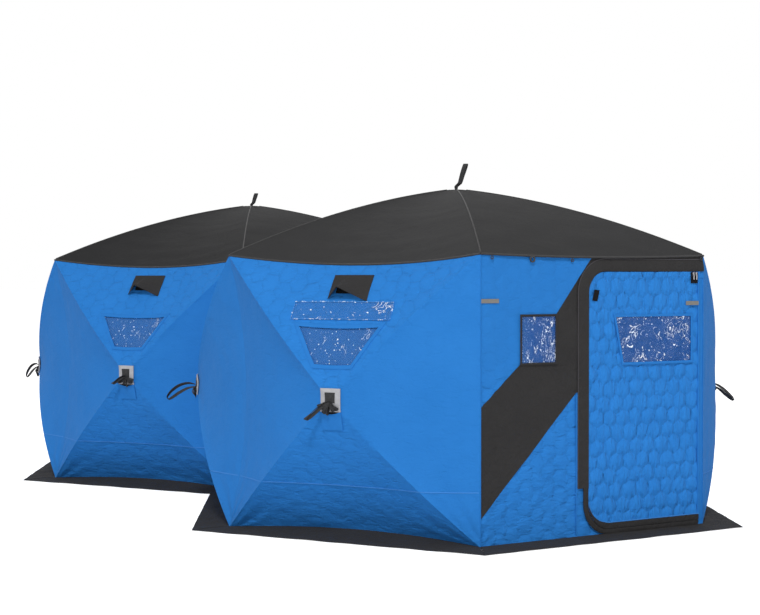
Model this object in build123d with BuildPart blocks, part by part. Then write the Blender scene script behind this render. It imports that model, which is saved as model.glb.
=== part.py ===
# Double pop-up ice fishing hut: two six-sided rooms that share an open side.
# Millimetres, ground at Z 0, front door facing -Y, the rooms meet at Y 0.
import os
from math import cos, radians, sin, sqrt, tan

from build123d import *

os.makedirs("parts", exist_ok=True)

# Plan and heights
wall_length = 1750
eave_height = 1727
roof_rise = 467
skirt_width = 230
skirt_thickness = 4
fabric_thickness = 6
seam_gap = 0.4

# Hub walls, pushed out by the hub in the middle of each
hub_bulge = 262
pole_bow_share = 0.8
eave_scallop = 115
eave_sag = 60
base_scallop = 100
corner_scallop = 120
hub_opening_share = 0.05

# Roof, pushed up by the hub at its peak
ridge_bow_share = 0.55
peak_opening_share = 0.03

# Poles and hubs
pole_diameter = 11
pole_clearance = 2.5
pole_end_share = 0.965
hub_radius = 38
hub_depth = 34
socket_gap = 0.9
roof_seat_gap = 0.9

# Windows in the hub walls and the clear strip over one of them, as shares of the panel over the hub
window_top_share = 0.5
window_bottom_share = 0.226
window_width_share = 0.66
strip_top_share = 0.672
strip_bottom_share = 0.545
strip_width_share = 0.39
vinyl_thickness = 1.5
blind_thickness = 2
blind_overlap = 12

# Vent hoods under the eave of the hub walls
vent_top_share = 0.858
vent_bottom_share = 0.69
vent_width = 270
vent_lip = 8
vent_depth = 42
hood_thickness = 3
vent_opening_top_share = 0.825
vent_opening_bottom_share = 0.725
vent_opening_width = 200

# Patches and webbing at the hubs
patch_width = 138
patch_height = 141
patch_thickness = 4
webbing_thickness = 3
pull_webbing_width = 25
pull_length = 150
roof_tab_radius = 62
roof_webbing_width = 40
roof_loop_height = 180
roof_loop_width = 46

# Door wall: door flap, doorway behind it, black stripe and small window, heights taken down from the eave
door_width_share = 0.513
hinge_margin = 47
door_bottom = 45
door_drop = 100
door_top_radius = 130
door_bottom_radius = 160
doorway_overlap = 50
doorway_sill = 80
doorway_drop = 137
hinge_bead_radius = 8
hinge_gap = 0.3
zip_band_width = 52
zip_band_gap = 5
zip_band_bottom = 24
zip_band_rise = 13
zip_band_thickness = 4
stripe_seam_gap = 88
stripe_seam_drop = 840
stripe_top_lead = 33
stripe_left_bottom = 165
stripe_left_drop = 905
side_window_gap = 251
side_window_width = 254
side_window_top_drop = 371
side_window_bottom_drop = 649
stripe_window_margin = 15
door_window_margin = 70
door_window_width = 619
door_window_slant = 61
door_window_top_drop = 381
door_window_bottom_drop = 665

# Worked out from the sizes above
apothem = wall_length * sqrt(3) / 2
half_length = wall_length / 2
wall_height = eave_height - skirt_thickness
half_height = wall_height / 2
hub_height = skirt_thickness + half_height
corner_inset = fabric_thickness / sqrt(3) + seam_gap
clear_half_length = half_length - corner_inset
mitre = tan(radians(30))
roof_edge = eave_height + fabric_thickness + roof_seat_gap
pole_radius = pole_diameter / 2
pole_drop = fabric_thickness + pole_radius + pole_clearance
window_top_height = hub_height + window_top_share * half_height
window_bottom_height = hub_height + window_bottom_share * half_height
strip_top_height = hub_height + strip_top_share * half_height
strip_bottom_height = hub_height + strip_bottom_share * half_height
vent_top_height = hub_height + vent_top_share * half_height
vent_bottom_height = hub_height + vent_bottom_share * half_height
vent_opening_top = hub_height + vent_opening_top_share * half_height
vent_opening_bottom = hub_height + vent_opening_bottom_share * half_height
door_hinge = half_length - hinge_margin
door_left = door_hinge - door_width_share * wall_length
door_top = eave_height - door_drop
doorway_left = door_left + doorway_overlap
doorway_right = door_hinge - doorway_overlap
doorway_top = eave_height - doorway_drop
side_window_right = door_left - side_window_gap
side_window_left = side_window_right - side_window_width
side_window_top = eave_height - side_window_top_drop
side_window_bottom = eave_height - side_window_bottom_drop
door_window_right = door_hinge - door_window_margin
door_window_left = door_window_right - door_window_width
door_window_top = eave_height - door_window_top_drop
door_window_bottom = eave_height - door_window_bottom_drop
hub_share = (hub_radius + socket_gap) / sqrt(half_length**2 + half_height**2)
reach = wall_length


def wall_plane(heading):
    # Local x runs along the wall, y is up and z points out of the front room
    out = Vector(cos(radians(heading)), sin(radians(heading)), 0)
    return Plane(Vector(0, -apothem, 0) + out * apothem, Vector(0, 0, 1).cross(out), out)


def bow(share, bow_share):
    return 1 - bow_share * share**2 - (1 - bow_share) * share


def curve(start, middle, end):
    # A straight edge has no middle point
    if middle is None:
        Line(start, end)
    else:
        ThreePointArc(start, middle, end)


def panel_face(first_edge, rim_middle, last_edge, middle_share):
    # A taut cloth panel between two bowed poles and the rim of its wall or roof
    with BuildLine() as outline:
        ThreePointArc(*first_edge)
        curve(first_edge[2], rim_middle, last_edge[2])
        ThreePointArc(*last_edge)
        Line(first_edge[0], last_edge[0])
    chords = [(Vector(first) + Vector(last)) / 2 for first, last in zip(first_edge, last_edge)]
    pull = Vector() if rim_middle is None else Vector(rim_middle) - chords[2]
    return Face.make_surface(outline.edges(), surface_points=[chords[1] + pull * middle_share])


wall_shares = (hub_opening_share, (hub_opening_share + 1) / 2, 1)
roof_shares = (peak_opening_share, (peak_opening_share + 1) / 2, 1)


def upright_panel(up, rim_middle):
    # Panel over the hub where up is 1, under it where up is -1
    def edge(side):
        return [
            (
                side * share * (clear_half_length - seam_gap),
                hub_height + up * (seam_gap + share * (half_height - seam_gap)),
                hub_bulge * bow(share, pole_bow_share),
            )
            for share in wall_shares
        ]

    return panel_face(edge(-1), rim_middle, edge(1), wall_shares[1])


def side_panel(side, half_width, rim_middle):
    # Panel left of the hub where side is -1, right of it where side is 1
    def edge(up):
        return [
            (
                side * (seam_gap + share * (half_width - seam_gap)),
                hub_height + up * share * (half_height - seam_gap),
                hub_bulge * bow(share, pole_bow_share),
            )
            for share in wall_shares
        ]

    return panel_face(edge(-1), rim_middle, edge(1), wall_shares[1])


def roof_gore(rim_middle, inset):
    # One of six roof panels, with local y pointing out from the peak
    def edge(side):
        return [
            (
                side * share * (half_length - seam_gap),
                seam_gap + share * (apothem - seam_gap - inset),
                roof_edge + roof_rise * bow(share, ridge_bow_share),
            )
            for share in roof_shares
        ]

    return panel_face(edge(-1), rim_middle, edge(1), roof_shares[1])


def placed(piece, places):
    with BuildPart() as copies:
        with Locations(*places):
            add(piece.part)
    return copies.part


inward = (0, 0, -1)
outward = (0, 0, 1)
left_wall = wall_plane(210)
left_mid_wall = wall_plane(150)
right_wall = wall_plane(-30)
right_mid_wall = wall_plane(30)
end_wall = wall_plane(-90)
hub_walls = [left_wall, left_mid_wall, right_wall, right_mid_wall]
pieces = {}

# Hub wall panels, shared by every hub wall
top_face = upright_panel(1, (0, eave_height - eave_sag, -eave_scallop))
bottom_face = upright_panel(-1, (0, skirt_thickness, -base_scallop))
scalloped_middle = (
    -clear_half_length + corner_scallop * cos(radians(60)),
    hub_height,
    -corner_scallop * sin(radians(60)),
)
wide_face = side_panel(-1, clear_half_length, scalloped_middle)
end_face = side_panel(1, clear_half_length, None)
mid_face = side_panel(1, half_length - seam_gap, None)


def window_points(inset):
    half_top = window_width_share * window_top_share * clear_half_length - inset
    half_bottom = window_width_share * window_bottom_share * clear_half_length - inset
    return [
        (-half_top, window_top_height - inset),
        (half_top, window_top_height - inset),
        (half_bottom, window_bottom_height + inset),
        (-half_bottom, window_bottom_height + inset),
    ]


vent_opening_points = [
    (-vent_opening_width / 2, vent_opening_top),
    (vent_opening_width / 2, vent_opening_top),
    (vent_opening_width / 2, vent_opening_bottom),
    (-vent_opening_width / 2, vent_opening_bottom),
]

# Hub wall next to the door wall, wide corner on its left
with BuildPart() as outer_wall:
    for face in (top_face, bottom_face, wide_face, end_face):
        extrude(to_extrude=face, amount=fabric_thickness, dir=inward)
    with BuildSketch():
        Polygon(*window_points(0), align=None)
        Polygon(*vent_opening_points, align=None)
    extrude(amount=reach, both=True, mode=Mode.SUBTRACT)

# Hub wall next to the other room, built with its wide corner on its left
with BuildPart() as inner_wall:
    for face in (top_face, bottom_face, wide_face, mid_face):
        extrude(to_extrude=face, amount=fabric_thickness, dir=inward)
    with BuildSketch():
        Polygon(*window_points(0), align=None)
        Polygon(*vent_opening_points, align=None)
    extrude(amount=reach, both=True, mode=Mode.SUBTRACT)

pieces["left_wall"] = placed(outer_wall, [left_wall])
pieces["right_wall"] = mirror(pieces["left_wall"], about=Plane.YZ)
pieces["right_mid_wall"] = placed(inner_wall, [right_mid_wall])
pieces["left_mid_wall"] = mirror(pieces["right_mid_wall"], about=Plane.YZ)

# Clear vinyl sheet that fills a hub wall's window
with BuildPart() as hub_window:
    extrude(to_extrude=top_face, amount=vinyl_thickness, dir=inward)
    with BuildSketch():
        Polygon(*window_points(seam_gap), align=None)
    extrude(amount=reach, both=True, mode=Mode.INTERSECT)

# Cloth blind behind that window, on the inside of the wall
with BuildPart() as hub_blind:
    extrude(to_extrude=Pos(0, 0, -fabric_thickness - seam_gap) * top_face, amount=blind_thickness, dir=inward)
    with BuildSketch():
        Polygon(*window_points(-blind_overlap), align=None)
    extrude(amount=reach, both=True, mode=Mode.INTERSECT)

# Clear strip sewn over the window of the left wall
with BuildPart() as clear_strip:
    extrude(to_extrude=Pos(0, 0, seam_gap) * top_face, amount=vinyl_thickness, dir=outward)
    with BuildSketch():
        with Locations((0, (strip_bottom_height + strip_top_height) / 2)):
            Rectangle(strip_width_share * wall_length, strip_top_height - strip_bottom_height)
    extrude(amount=reach, both=True, mode=Mode.INTERSECT)


def wall_depth(height):
    # How far the middle of the top panel stands out at this height
    hits = top_face.find_intersection_points(Axis((0, height, -reach), outward))
    return hits[0][0].Z


# Vent hood: closed at the top and sides, open below
hood_top_out = wall_depth(vent_top_height) + vent_lip
hood_bottom_out = wall_depth(vent_bottom_height) + vent_depth
with BuildPart() as vent_hood:
    extrude(to_extrude=top_face, amount=reach, dir=outward)
    with BuildSketch(Plane.YZ):
        Polygon(
            (vent_top_height, -reach),
            (vent_top_height, hood_top_out),
            (vent_bottom_height, hood_bottom_out),
            (vent_bottom_height, -reach),
            align=None,
        )
    extrude(amount=vent_width / 2, both=True, mode=Mode.INTERSECT)
    with BuildSketch(Plane.YZ):
        Polygon(
            (vent_top_height - hood_thickness * 2, -reach),
            (vent_top_height - hood_thickness * 2, hood_top_out - hood_thickness),
            (vent_bottom_height - hood_thickness, hood_bottom_out - hood_thickness),
            (vent_bottom_height - hood_thickness, -reach),
            align=None,
        )
    extrude(amount=vent_width / 2 - hood_thickness, both=True, mode=Mode.SUBTRACT)
pieces["vent_hoods"] = placed(vent_hood, hub_walls)

# Four bowed poles behind the folds of each hub wall
with BuildPart() as wall_poles:
    for side in (-1, 1):
        for up in (-1, 1):
            shares = (hub_share, (hub_share + pole_end_share) / 2, pole_end_share)
            route = [
                (
                    side * share * clear_half_length,
                    hub_height + up * share * half_height,
                    hub_bulge * bow(share, pole_bow_share) - pole_drop,
                )
                for share in shares
            ]
            with BuildLine() as pole_path:
                ThreePointArc(*route)
            with BuildSketch(Plane(pole_path.line @ 0, z_dir=pole_path.line % 0)):
                Circle(pole_radius)
            sweep(path=pole_path.line)
pieces["wall_poles"] = placed(wall_poles, hub_walls)

# Hub that the four poles plug into
patch_back = hub_bulge * bow(hub_opening_share, pole_bow_share) + seam_gap
with BuildPart() as wall_hub:
    with BuildSketch(Plane.XY.offset(patch_back - seam_gap)):
        with Locations((0, hub_height)):
            Circle(hub_radius)
    extrude(amount=-hub_depth)

# Square patch over the hub
with BuildPart() as hub_patch:
    with BuildSketch(Plane.XY.offset(patch_back)):
        with Locations((0, hub_height)):
            Rectangle(patch_width, patch_height)
    extrude(amount=patch_thickness)
pieces["hub_patches"] = placed(hub_patch, hub_walls)

# Doubled webbing pull that hangs flat on the patch
patch_front = patch_back + patch_thickness
with BuildPart() as pull_strap:
    with BuildSketch(Plane.XY.offset(patch_front)):
        with Locations(Location((0, hub_height - pull_length / 2), 90)):
            SlotOverall(pull_length, pull_webbing_width)
    extrude(amount=2 * webbing_thickness)
pieces["pull_straps"] = placed(pull_strap, hub_walls)

# Roof of six panels round the peak
room_centre = Plane((0, -apothem, 0))
hub_gore = roof_gore((0, apothem - eave_scallop, roof_edge - eave_sag), 0)
end_gore = roof_gore(None, 0)
mid_gore = roof_gore(None, seam_gap)
gores = [(hub_gore, 120), (hub_gore, 60), (hub_gore, -60), (hub_gore, -120), (end_gore, 180), (mid_gore, 0)]
with BuildPart() as roof:
    for gore, turn in gores:
        turned = room_centre.location * Rotation(0, 0, turn) * gore
        extrude(to_extrude=turned, amount=fabric_thickness, dir=inward)
pieces["roof"] = roof.part

# Six bowed poles under the ridges
with BuildPart() as roof_poles:
    for corner in range(6):
        shares = (
            (hub_radius + socket_gap) / wall_length,
            (hub_radius / wall_length + pole_end_share) / 2,
            pole_end_share,
        )
        route = [
            (share * wall_length, 0, roof_edge + roof_rise * bow(share, ridge_bow_share) - pole_drop)
            for share in shares
        ]
        ridge = room_centre.location * Rotation(0, 0, corner * 60)
        with BuildLine(Plane(ridge)) as pole_path:
            ThreePointArc(*route)
        with BuildSketch(Plane(pole_path.line @ 0, z_dir=pole_path.line % 0)):
            Circle(pole_radius)
        sweep(path=pole_path.line)
pieces["roof_poles"] = roof_poles.part

# Hub at the peak, and with it the four wall hubs
tab_bottom = roof_edge + roof_rise * bow(peak_opening_share, ridge_bow_share) + seam_gap
with BuildPart() as hubs:
    with Locations(*hub_walls):
        add(wall_hub.part)
    with BuildSketch(room_centre.offset(tab_bottom - seam_gap)):
        Circle(hub_radius)
    extrude(amount=-hub_depth)
pieces["hubs"] = hubs.part

# Round tab and standing webbing loop on the peak
with BuildPart() as roof_strap:
    with BuildSketch(room_centre.offset(tab_bottom)):
        Circle(roof_tab_radius)
    extrude(amount=patch_thickness)
    with BuildSketch(Plane(room_centre.origin, x_dir=(1, 0, 0), z_dir=(0, -1, 0))):
        with Locations(Location((0, tab_bottom + roof_loop_height / 2), 90)):
            SlotOverall(roof_loop_height, roof_loop_width)
            SlotOverall(
                roof_loop_height - 2 * webbing_thickness,
                roof_loop_width - 2 * webbing_thickness,
                mode=Mode.SUBTRACT,
            )
    extrude(amount=roof_webbing_width / 2, both=True)
pieces["roof_strap"] = roof_strap.part

# Ground skirt, one flat strip a wall, mitred at the corners
skirt_places = [(plane, 1, 1) for plane in (left_wall, right_wall, end_wall)]
skirt_places += [(left_mid_wall, -1, 1), (right_mid_wall, 1, -1)]
tuck = base_scallop + 2 * fabric_thickness
with BuildPart() as skirt:
    for plane, left_turn, right_turn in skirt_places:
        with BuildSketch(Plane(plane.origin, x_dir=plane.x_dir, z_dir=(0, 0, 1))):
            Polygon(
                (-half_length + left_turn * tuck * mitre + seam_gap, tuck),
                (half_length - right_turn * tuck * mitre - seam_gap, tuck),
                (half_length + right_turn * skirt_width * mitre - seam_gap, -skirt_width),
                (-half_length - left_turn * skirt_width * mitre + seam_gap, -skirt_width),
                align=None,
            )
        extrude(amount=skirt_thickness)
pieces["skirt"] = skirt.part


# Black stripe across the door wall, with the band along the door's zip
stripe_edge = [
    (door_left + stripe_top_lead, eave_height),
    (side_window_right + stripe_window_margin, side_window_top + stripe_window_margin),
    (side_window_left - stripe_window_margin, side_window_bottom - stripe_window_margin),
    (-clear_half_length, eave_height - stripe_left_drop),
]
stripe_foot = [
    (-clear_half_length, stripe_left_bottom),
    (door_left - stripe_seam_gap, eave_height - stripe_seam_drop),
    (doorway_left, eave_height - stripe_seam_drop),
]
side_window_middle = ((side_window_left + side_window_right) / 2, (side_window_bottom + side_window_top) / 2)
side_window_size = (side_window_right - side_window_left, side_window_top - side_window_bottom)
with BuildPart() as stripe:
    with BuildSketch(end_wall):
        Polygon((doorway_left, eave_height), *stripe_edge, *stripe_foot, align=None)
        with Locations(side_window_middle):
            Rectangle(*side_window_size, mode=Mode.SUBTRACT)
    extrude(amount=-fabric_thickness)
    with BuildSketch(end_wall):
        Polygon(
            (door_left - zip_band_gap, zip_band_bottom),
            (door_left - zip_band_gap, door_top + zip_band_rise),
            (door_left - zip_band_gap - zip_band_width, door_top + zip_band_rise),
            (door_left - zip_band_gap - zip_band_width, zip_band_bottom),
            align=None,
        )
    extrude(amount=zip_band_thickness)
pieces["stripe"] = stripe.part

# Blue panels over and under the stripe
with BuildPart() as end_panels:
    with BuildSketch(end_wall):
        Polygon((-clear_half_length, eave_height), *stripe_edge, align=None)
        Polygon(
            (-clear_half_length, skirt_thickness),
            *stripe_foot,
            (doorway_left, skirt_thickness),
            align=None,
        )
        with Locations(side_window_middle):
            Rectangle(*side_window_size, mode=Mode.SUBTRACT)
    extrude(amount=-fabric_thickness)
pieces["end_panels"] = end_panels.part

# Band over the doorway
with BuildPart() as door_header:
    with BuildSketch(end_wall):
        Polygon(
            (doorway_left, eave_height),
            (doorway_left, doorway_top),
            (clear_half_length, doorway_top),
            (clear_half_length, eave_height),
            align=None,
        )
    extrude(amount=-fabric_thickness)
pieces["door_header"] = door_header.part

# Sill under the doorway, and the jamb that carries the door
with BuildPart() as door_frame:
    with BuildSketch(end_wall):
        Polygon(
            (doorway_left, skirt_thickness),
            (doorway_left, doorway_sill),
            (doorway_right, doorway_sill),
            (doorway_right, skirt_thickness),
            align=None,
        )
        Polygon(
            (doorway_right + seam_gap, skirt_thickness),
            (doorway_right + seam_gap, doorway_top),
            (clear_half_length, doorway_top),
            (clear_half_length, skirt_thickness),
            align=None,
        )
    extrude(amount=-fabric_thickness)
pieces["door_frame"] = door_frame.part

# Clear sheets in the hub walls and in the small window beside the door
with BuildPart() as wall_windows:
    with Locations(*hub_walls):
        add(hub_window.part)
    with BuildSketch(end_wall):
        with Locations(side_window_middle):
            Rectangle(*(size - 2 * seam_gap for size in side_window_size))
    extrude(amount=-vinyl_thickness)
pieces["wall_windows"] = wall_windows.part

# Blinds behind those windows
with BuildPart() as window_blinds:
    with Locations(*hub_walls):
        add(hub_blind.part)
    with BuildSketch(end_wall.offset(-fabric_thickness - seam_gap)):
        with Locations(side_window_middle):
            Rectangle(*(size + 2 * blind_overlap for size in side_window_size))
    extrude(amount=-blind_thickness)
pieces["window_blinds"] = window_blinds.part


def door_window_points(inset):
    return [
        (door_window_left + inset, door_window_top - inset),
        (door_window_right - inset, door_window_top - inset),
        (door_window_right - inset, door_window_bottom + inset),
        (door_window_left + door_window_slant + inset, door_window_bottom + inset),
    ]


# Door flap in front of the doorway, hung on a rolled hem
hinge_offset = hinge_gap + hinge_bead_radius
door_back = end_wall.offset(hinge_offset - fabric_thickness / 2)
with BuildPart() as door:
    with BuildSketch(door_back) as flap:
        Polygon(
            (door_left, door_top),
            (door_hinge, door_top),
            (door_hinge, door_bottom),
            (door_left, door_bottom),
            align=None,
        )
        fillet(flap.vertices().group_by(Axis.Y)[0].sort_by(Axis.X)[0], door_bottom_radius)
        fillet(flap.vertices().group_by(Axis.Y)[-1].sort_by(Axis.X)[0], door_top_radius)
        Polygon(*door_window_points(0), align=None, mode=Mode.SUBTRACT)
    extrude(amount=fabric_thickness)
    with BuildSketch(Plane.XY.offset(door_bottom)):
        with Locations((door_hinge, end_wall.origin.Y - hinge_offset)):
            Circle(hinge_bead_radius)
    extrude(amount=door_top - door_bottom)
pieces["door"] = door.part

# Clear sheet in the door
with BuildPart() as door_window:
    with BuildSketch(door_back):
        Polygon(*door_window_points(seam_gap), align=None)
    extrude(amount=vinyl_thickness)
pieces["door_window"] = door_window.part

# Blind on the inside of the door
with BuildPart() as door_blind:
    with BuildSketch(door_back.offset(-seam_gap)):
        Polygon(*door_window_points(-blind_overlap), align=None)
    extrude(amount=-blind_thickness)
pieces["door_blind"] = door_blind.part

# The rear room mirrors the front one
for name, part in pieces.items():
    for room, solid in (("front", part), ("rear", mirror(part, about=Plane.XZ))):
        solid.label = f"{room}_{name}"
        export_step(solid, f"parts/{room}_{name}.step")
clear_strip_placed = placed(clear_strip, [left_wall])
clear_strip_placed.label = "front_clear_strip"
export_step(clear_strip_placed, "parts/front_clear_strip.step")
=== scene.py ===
import bpy
import math
import numpy as np
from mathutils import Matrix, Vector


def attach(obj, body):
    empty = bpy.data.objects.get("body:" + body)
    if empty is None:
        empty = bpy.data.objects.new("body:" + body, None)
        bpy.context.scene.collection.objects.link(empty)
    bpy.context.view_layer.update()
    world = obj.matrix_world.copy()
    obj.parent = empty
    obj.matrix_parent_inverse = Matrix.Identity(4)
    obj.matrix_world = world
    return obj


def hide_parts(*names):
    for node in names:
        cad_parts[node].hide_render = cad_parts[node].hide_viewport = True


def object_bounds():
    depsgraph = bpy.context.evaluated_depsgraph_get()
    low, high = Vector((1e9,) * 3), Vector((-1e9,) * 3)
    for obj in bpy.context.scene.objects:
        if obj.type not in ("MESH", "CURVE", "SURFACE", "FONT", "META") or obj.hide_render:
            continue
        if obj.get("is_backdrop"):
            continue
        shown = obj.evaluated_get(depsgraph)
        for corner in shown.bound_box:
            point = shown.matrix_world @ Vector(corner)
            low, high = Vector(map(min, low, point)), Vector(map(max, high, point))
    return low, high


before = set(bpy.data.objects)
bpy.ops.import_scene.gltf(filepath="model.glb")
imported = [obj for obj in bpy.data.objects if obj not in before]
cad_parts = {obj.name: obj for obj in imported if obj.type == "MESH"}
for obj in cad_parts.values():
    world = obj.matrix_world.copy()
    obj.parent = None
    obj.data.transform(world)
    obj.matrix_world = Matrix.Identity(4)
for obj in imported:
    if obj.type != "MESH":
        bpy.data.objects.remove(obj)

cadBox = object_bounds()
bpy.context.scene.view_settings.view_transform = "Standard"
bpy.context.tool_settings.mesh_select_mode = (False, False, True)

hut = {"half": 0.875, "clear": 0.8711, "eave": 1.727, "hubZ": 0.8655, "halfHigh": 0.8615,
       "apothem": 1.51554, "roofEdge": 1.7339, "cloth": 0.006, "base": 0.004}
quilt = {"across": 0.104, "deep": 0.0042, "round": 2.7,  # hexagons, flat to flat
         "wander": 0.008, "wanderSize": 0.26, "wanderSeeds": (501, 502)}
wrinkle = {"waves": 7, "shortest": 0.6, "longest": 1.6, "level": 3.5}
up = np.array((0.0, 0.0, 1.0))
rooms = {"front": -hut["apothem"], "rear": hut["apothem"]}
headings = [30 + 60 * turn for turn in range(6)]  # six sides of a room, degrees
crisp = math.radians(40)  # sharper edges stay crisp
tiny = 1e-9


# camera, fitted to the photograph
view = {"place": (-6.5125, -10.9066, 1.5863), "turn": 32.106, "tilt": -1.024, "lens": 78.28}
bpy.ops.object.select_all(action="DESELECT")
bpy.ops.object.camera_add(location=view["place"],
                          rotation=(math.radians(90 + view["tilt"]), 0, -math.radians(view["turn"])))
camera = bpy.context.object
camera.data.sensor_fit = "HORIZONTAL"
camera.data.sensor_width = 36
camera.data.lens = view["lens"]
bpy.context.scene.camera = camera
print("camera set")


# mesh helpers
def clearSelection():
    if bpy.context.object and bpy.context.object.mode != "OBJECT":
        bpy.ops.object.mode_set(mode="OBJECT")
    bpy.ops.object.select_all(action="DESELECT")


def pick(*pieces):
    clearSelection()
    for piece in pieces:
        piece.select_set(True)
    bpy.context.view_layer.objects.active = pieces[0]


def newGrid(columns, rows):  # spans -1 to 1 both ways
    clearSelection()
    bpy.ops.mesh.primitive_grid_add(x_subdivisions=columns, y_subdivisions=rows, size=2, calc_uvs=True)
    return bpy.context.object


def editWhole(piece, operator, **settings):
    pick(piece)
    bpy.ops.object.mode_set(mode="EDIT")
    bpy.ops.mesh.select_all(action="SELECT")
    operator(**settings)
    bpy.ops.object.mode_set(mode="OBJECT")


def cutAlong(piece, point, normal):
    editWhole(piece, bpy.ops.mesh.bisect, plane_co=(*point, 0), plane_no=(*normal, 0))


def cutEdges(piece, corners, closed=True):
    ends = corners[1:] + corners[:1] if closed else corners[1:]
    for start, end in zip(corners, ends):
        cutAlong(piece, start, (end[1] - start[1], start[0] - end[0]))


def readAll(rows, name):  # three numbers for each vertex or face
    flat = np.empty(len(rows) * 3)
    rows.foreach_get(name, flat)
    return flat.reshape(-1, 3)


def readPoints(piece):
    return readAll(piece.data.vertices, "co")


def facesInside(piece, corners):
    x, y, _ = readAll(piece.data.polygons, "center").T
    within = np.zeros(len(x), bool)
    for (x0, y0), (x1, y1) in zip(corners, corners[1:] + corners[:1]):
        if y0 != y1:
            within ^= ((y0 > y) != (y1 > y)) & (x < (x1 - x0) * (y - y0) / (y1 - y0) + x0)
    return within


def turnUp(piece):
    if readAll(piece.data.polygons, "normal")[:, 2].mean() < 0:
        piece.data.flip_normals()


def dropFaces(piece, flags):
    pick(piece)
    mesh = piece.data
    mesh.vertices.foreach_set("select", np.zeros(len(mesh.vertices), bool))
    mesh.edges.foreach_set("select", np.zeros(len(mesh.edges), bool))
    mesh.polygons.foreach_set("select", np.asarray(flags, bool))
    bpy.ops.object.mode_set(mode="EDIT")
    bpy.ops.mesh.delete(type="FACE")
    bpy.ops.object.mode_set(mode="OBJECT")


def cutOut(piece, corners):
    cutEdges(piece, corners)
    dropFaces(piece, facesInside(piece, corners))


def writePoints(piece, points):
    piece.data.vertices.foreach_set("co", np.ascontiguousarray(points, np.float32).ravel())
    piece.data.update()


def writeUv(piece, u, v):
    corner = np.empty(len(piece.data.loops), int)
    piece.data.loops.foreach_get("vertex_index", corner)
    layer = piece.data.uv_layers.active or piece.data.uv_layers.new(name="UVMap")
    layer.data.foreach_set("uv", np.stack([u[corner], v[corner]], 1).astype(np.float32).ravel())


def writeQuilt(piece, strength):
    layer = piece.data.attributes.new("quilt", "FLOAT", "POINT")
    layer.data.foreach_set("value", np.broadcast_to(strength, len(piece.data.vertices)).astype(np.float32))


def rectangle(left, right, low, high):
    return [(left, low), (right, low), (right, high), (left, high)]


def clamp(value):
    return np.clip(value, 0, 1)


def ripple(u, v, size, seed):  # soft wrinkles, about -1 to 1
    dice = np.random.default_rng(seed)
    total = np.zeros(np.shape(u))
    for _ in range(wrinkle["waves"]):
        angle, phase = dice.uniform(0, 2 * math.pi, 2)
        wave = 2 * math.pi / (size * dice.uniform(wrinkle["shortest"], wrinkle["longest"]))
        total = total + np.sin(wave * (u * math.cos(angle) + v * math.sin(angle)) + phase)
    return total / wrinkle["level"]


def puff(u, v):  # 1 in the middle of a hexagon, 0 on its stitch line
    across, wide = quilt["across"], quilt["across"] * math.sqrt(3)
    first = (np.mod(u + wide / 2, wide) - wide / 2, np.mod(v + across / 2, across) - across / 2)
    second = (np.mod(u, wide) - wide / 2, np.mod(v, across) - across / 2)
    near = np.hypot(*first) < np.hypot(*second)
    x, y = (np.abs(np.where(near, a, b)) for a, b in zip(first, second))
    inner = 1 - np.maximum(y, x * math.sqrt(3) / 2 + y / 2) * 2 / across
    return 1 - (1 - clamp(inner)) ** quilt["round"]


def warped(u, v):  # the quilting wanders a little with the cloth
    drift = [quilt["wander"] * ripple(u, v, quilt["wanderSize"], seed) for seed in quilt["wanderSeeds"]]
    return u + drift[0], v + drift[1]


def wallPlace(heading, roomY):
    turn = math.radians(heading)
    out = np.array((math.cos(turn), math.sin(turn), 0.0))
    return np.array((0.0, roomY, 0.0)) + out * hut["apothem"], np.cross(up, out), out


def endPlace(roomY):  # u runs along +X on both door walls
    out = np.array((0.0, math.copysign(1, roomY), 0.0))
    return np.array((0.0, 2 * roomY, 0.0)), np.array((1.0, 0.0, 0.0)), out


def inRoom(place, u, z, n):  # from a wall's own u, height and distance out
    origin, along, out = place
    return origin + u[:, None] * along + z[:, None] * up + n[:, None] * out


def setDown(piece, place, u, z, n):
    writePoints(piece, inRoom(place, u, z, n))
    if np.cross(place[1], up) @ place[2] < 0:
        piece.data.flip_normals()


def thicken(piece, thickness, offset=-1):
    pick(piece)
    shell = piece.modifiers.new("shell", "SOLIDIFY")
    shell.thickness = thickness
    shell.offset = offset
    bpy.ops.object.modifier_apply(modifier="shell")
    bpy.ops.object.shade_smooth_by_angle(angle=crisp)


def joinAll(pieces):
    pick(*pieces)
    if len(pieces) > 1:
        bpy.ops.object.join()
    return bpy.context.view_layer.objects.active


def dress(pieces, name, material, slot, *nodes, body="hut"):
    piece = joinAll(pieces)
    piece.name = piece.data.name = name
    piece.data.materials.clear()
    piece.data.materials.append(material)
    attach(piece, body)
    if nodes:
        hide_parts(*nodes)
    return piece


# node helpers
def newMaterial(name, roughness, specular):
    material = bpy.data.materials.new(name)
    material.use_nodes = True
    shader = material.node_tree.nodes["Principled BSDF"]
    shader.inputs["Roughness"].default_value = roughness
    shader.inputs["Specular IOR Level"].default_value = specular
    return material, material.node_tree, shader


def addNode(tree, kind, settings=None, **wires):  # i0, i1 and so on are sockets by number
    node = tree.nodes.new(kind)
    for key, value in (settings or {}).items():
        setattr(node, key, value)
    for socket, source in wires.items():
        numbered = socket[0] == "i" and socket[1:].isdigit()
        sink = node.inputs[int(socket[1:]) if numbered else socket.replace("_", " ")]
        if hasattr(source, "is_output"):
            tree.links.new(source, sink)
        else:
            sink.default_value = (*source, 1) if sink.type == "RGBA" else source
    return node


def mathNode(tree, operation, first, second=0.0, third=0.0):
    return addNode(tree, "ShaderNodeMath", {"operation": operation}, i0=first, i1=second, i2=third).outputs[0]


def vectorNode(tree, operation, first, second=(0, 0, 0), third=(0, 0, 0)):
    settings = {"operation": operation}
    return addNode(tree, "ShaderNodeVectorMath", settings, i0=first, i1=second, i2=third).outputs


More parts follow.
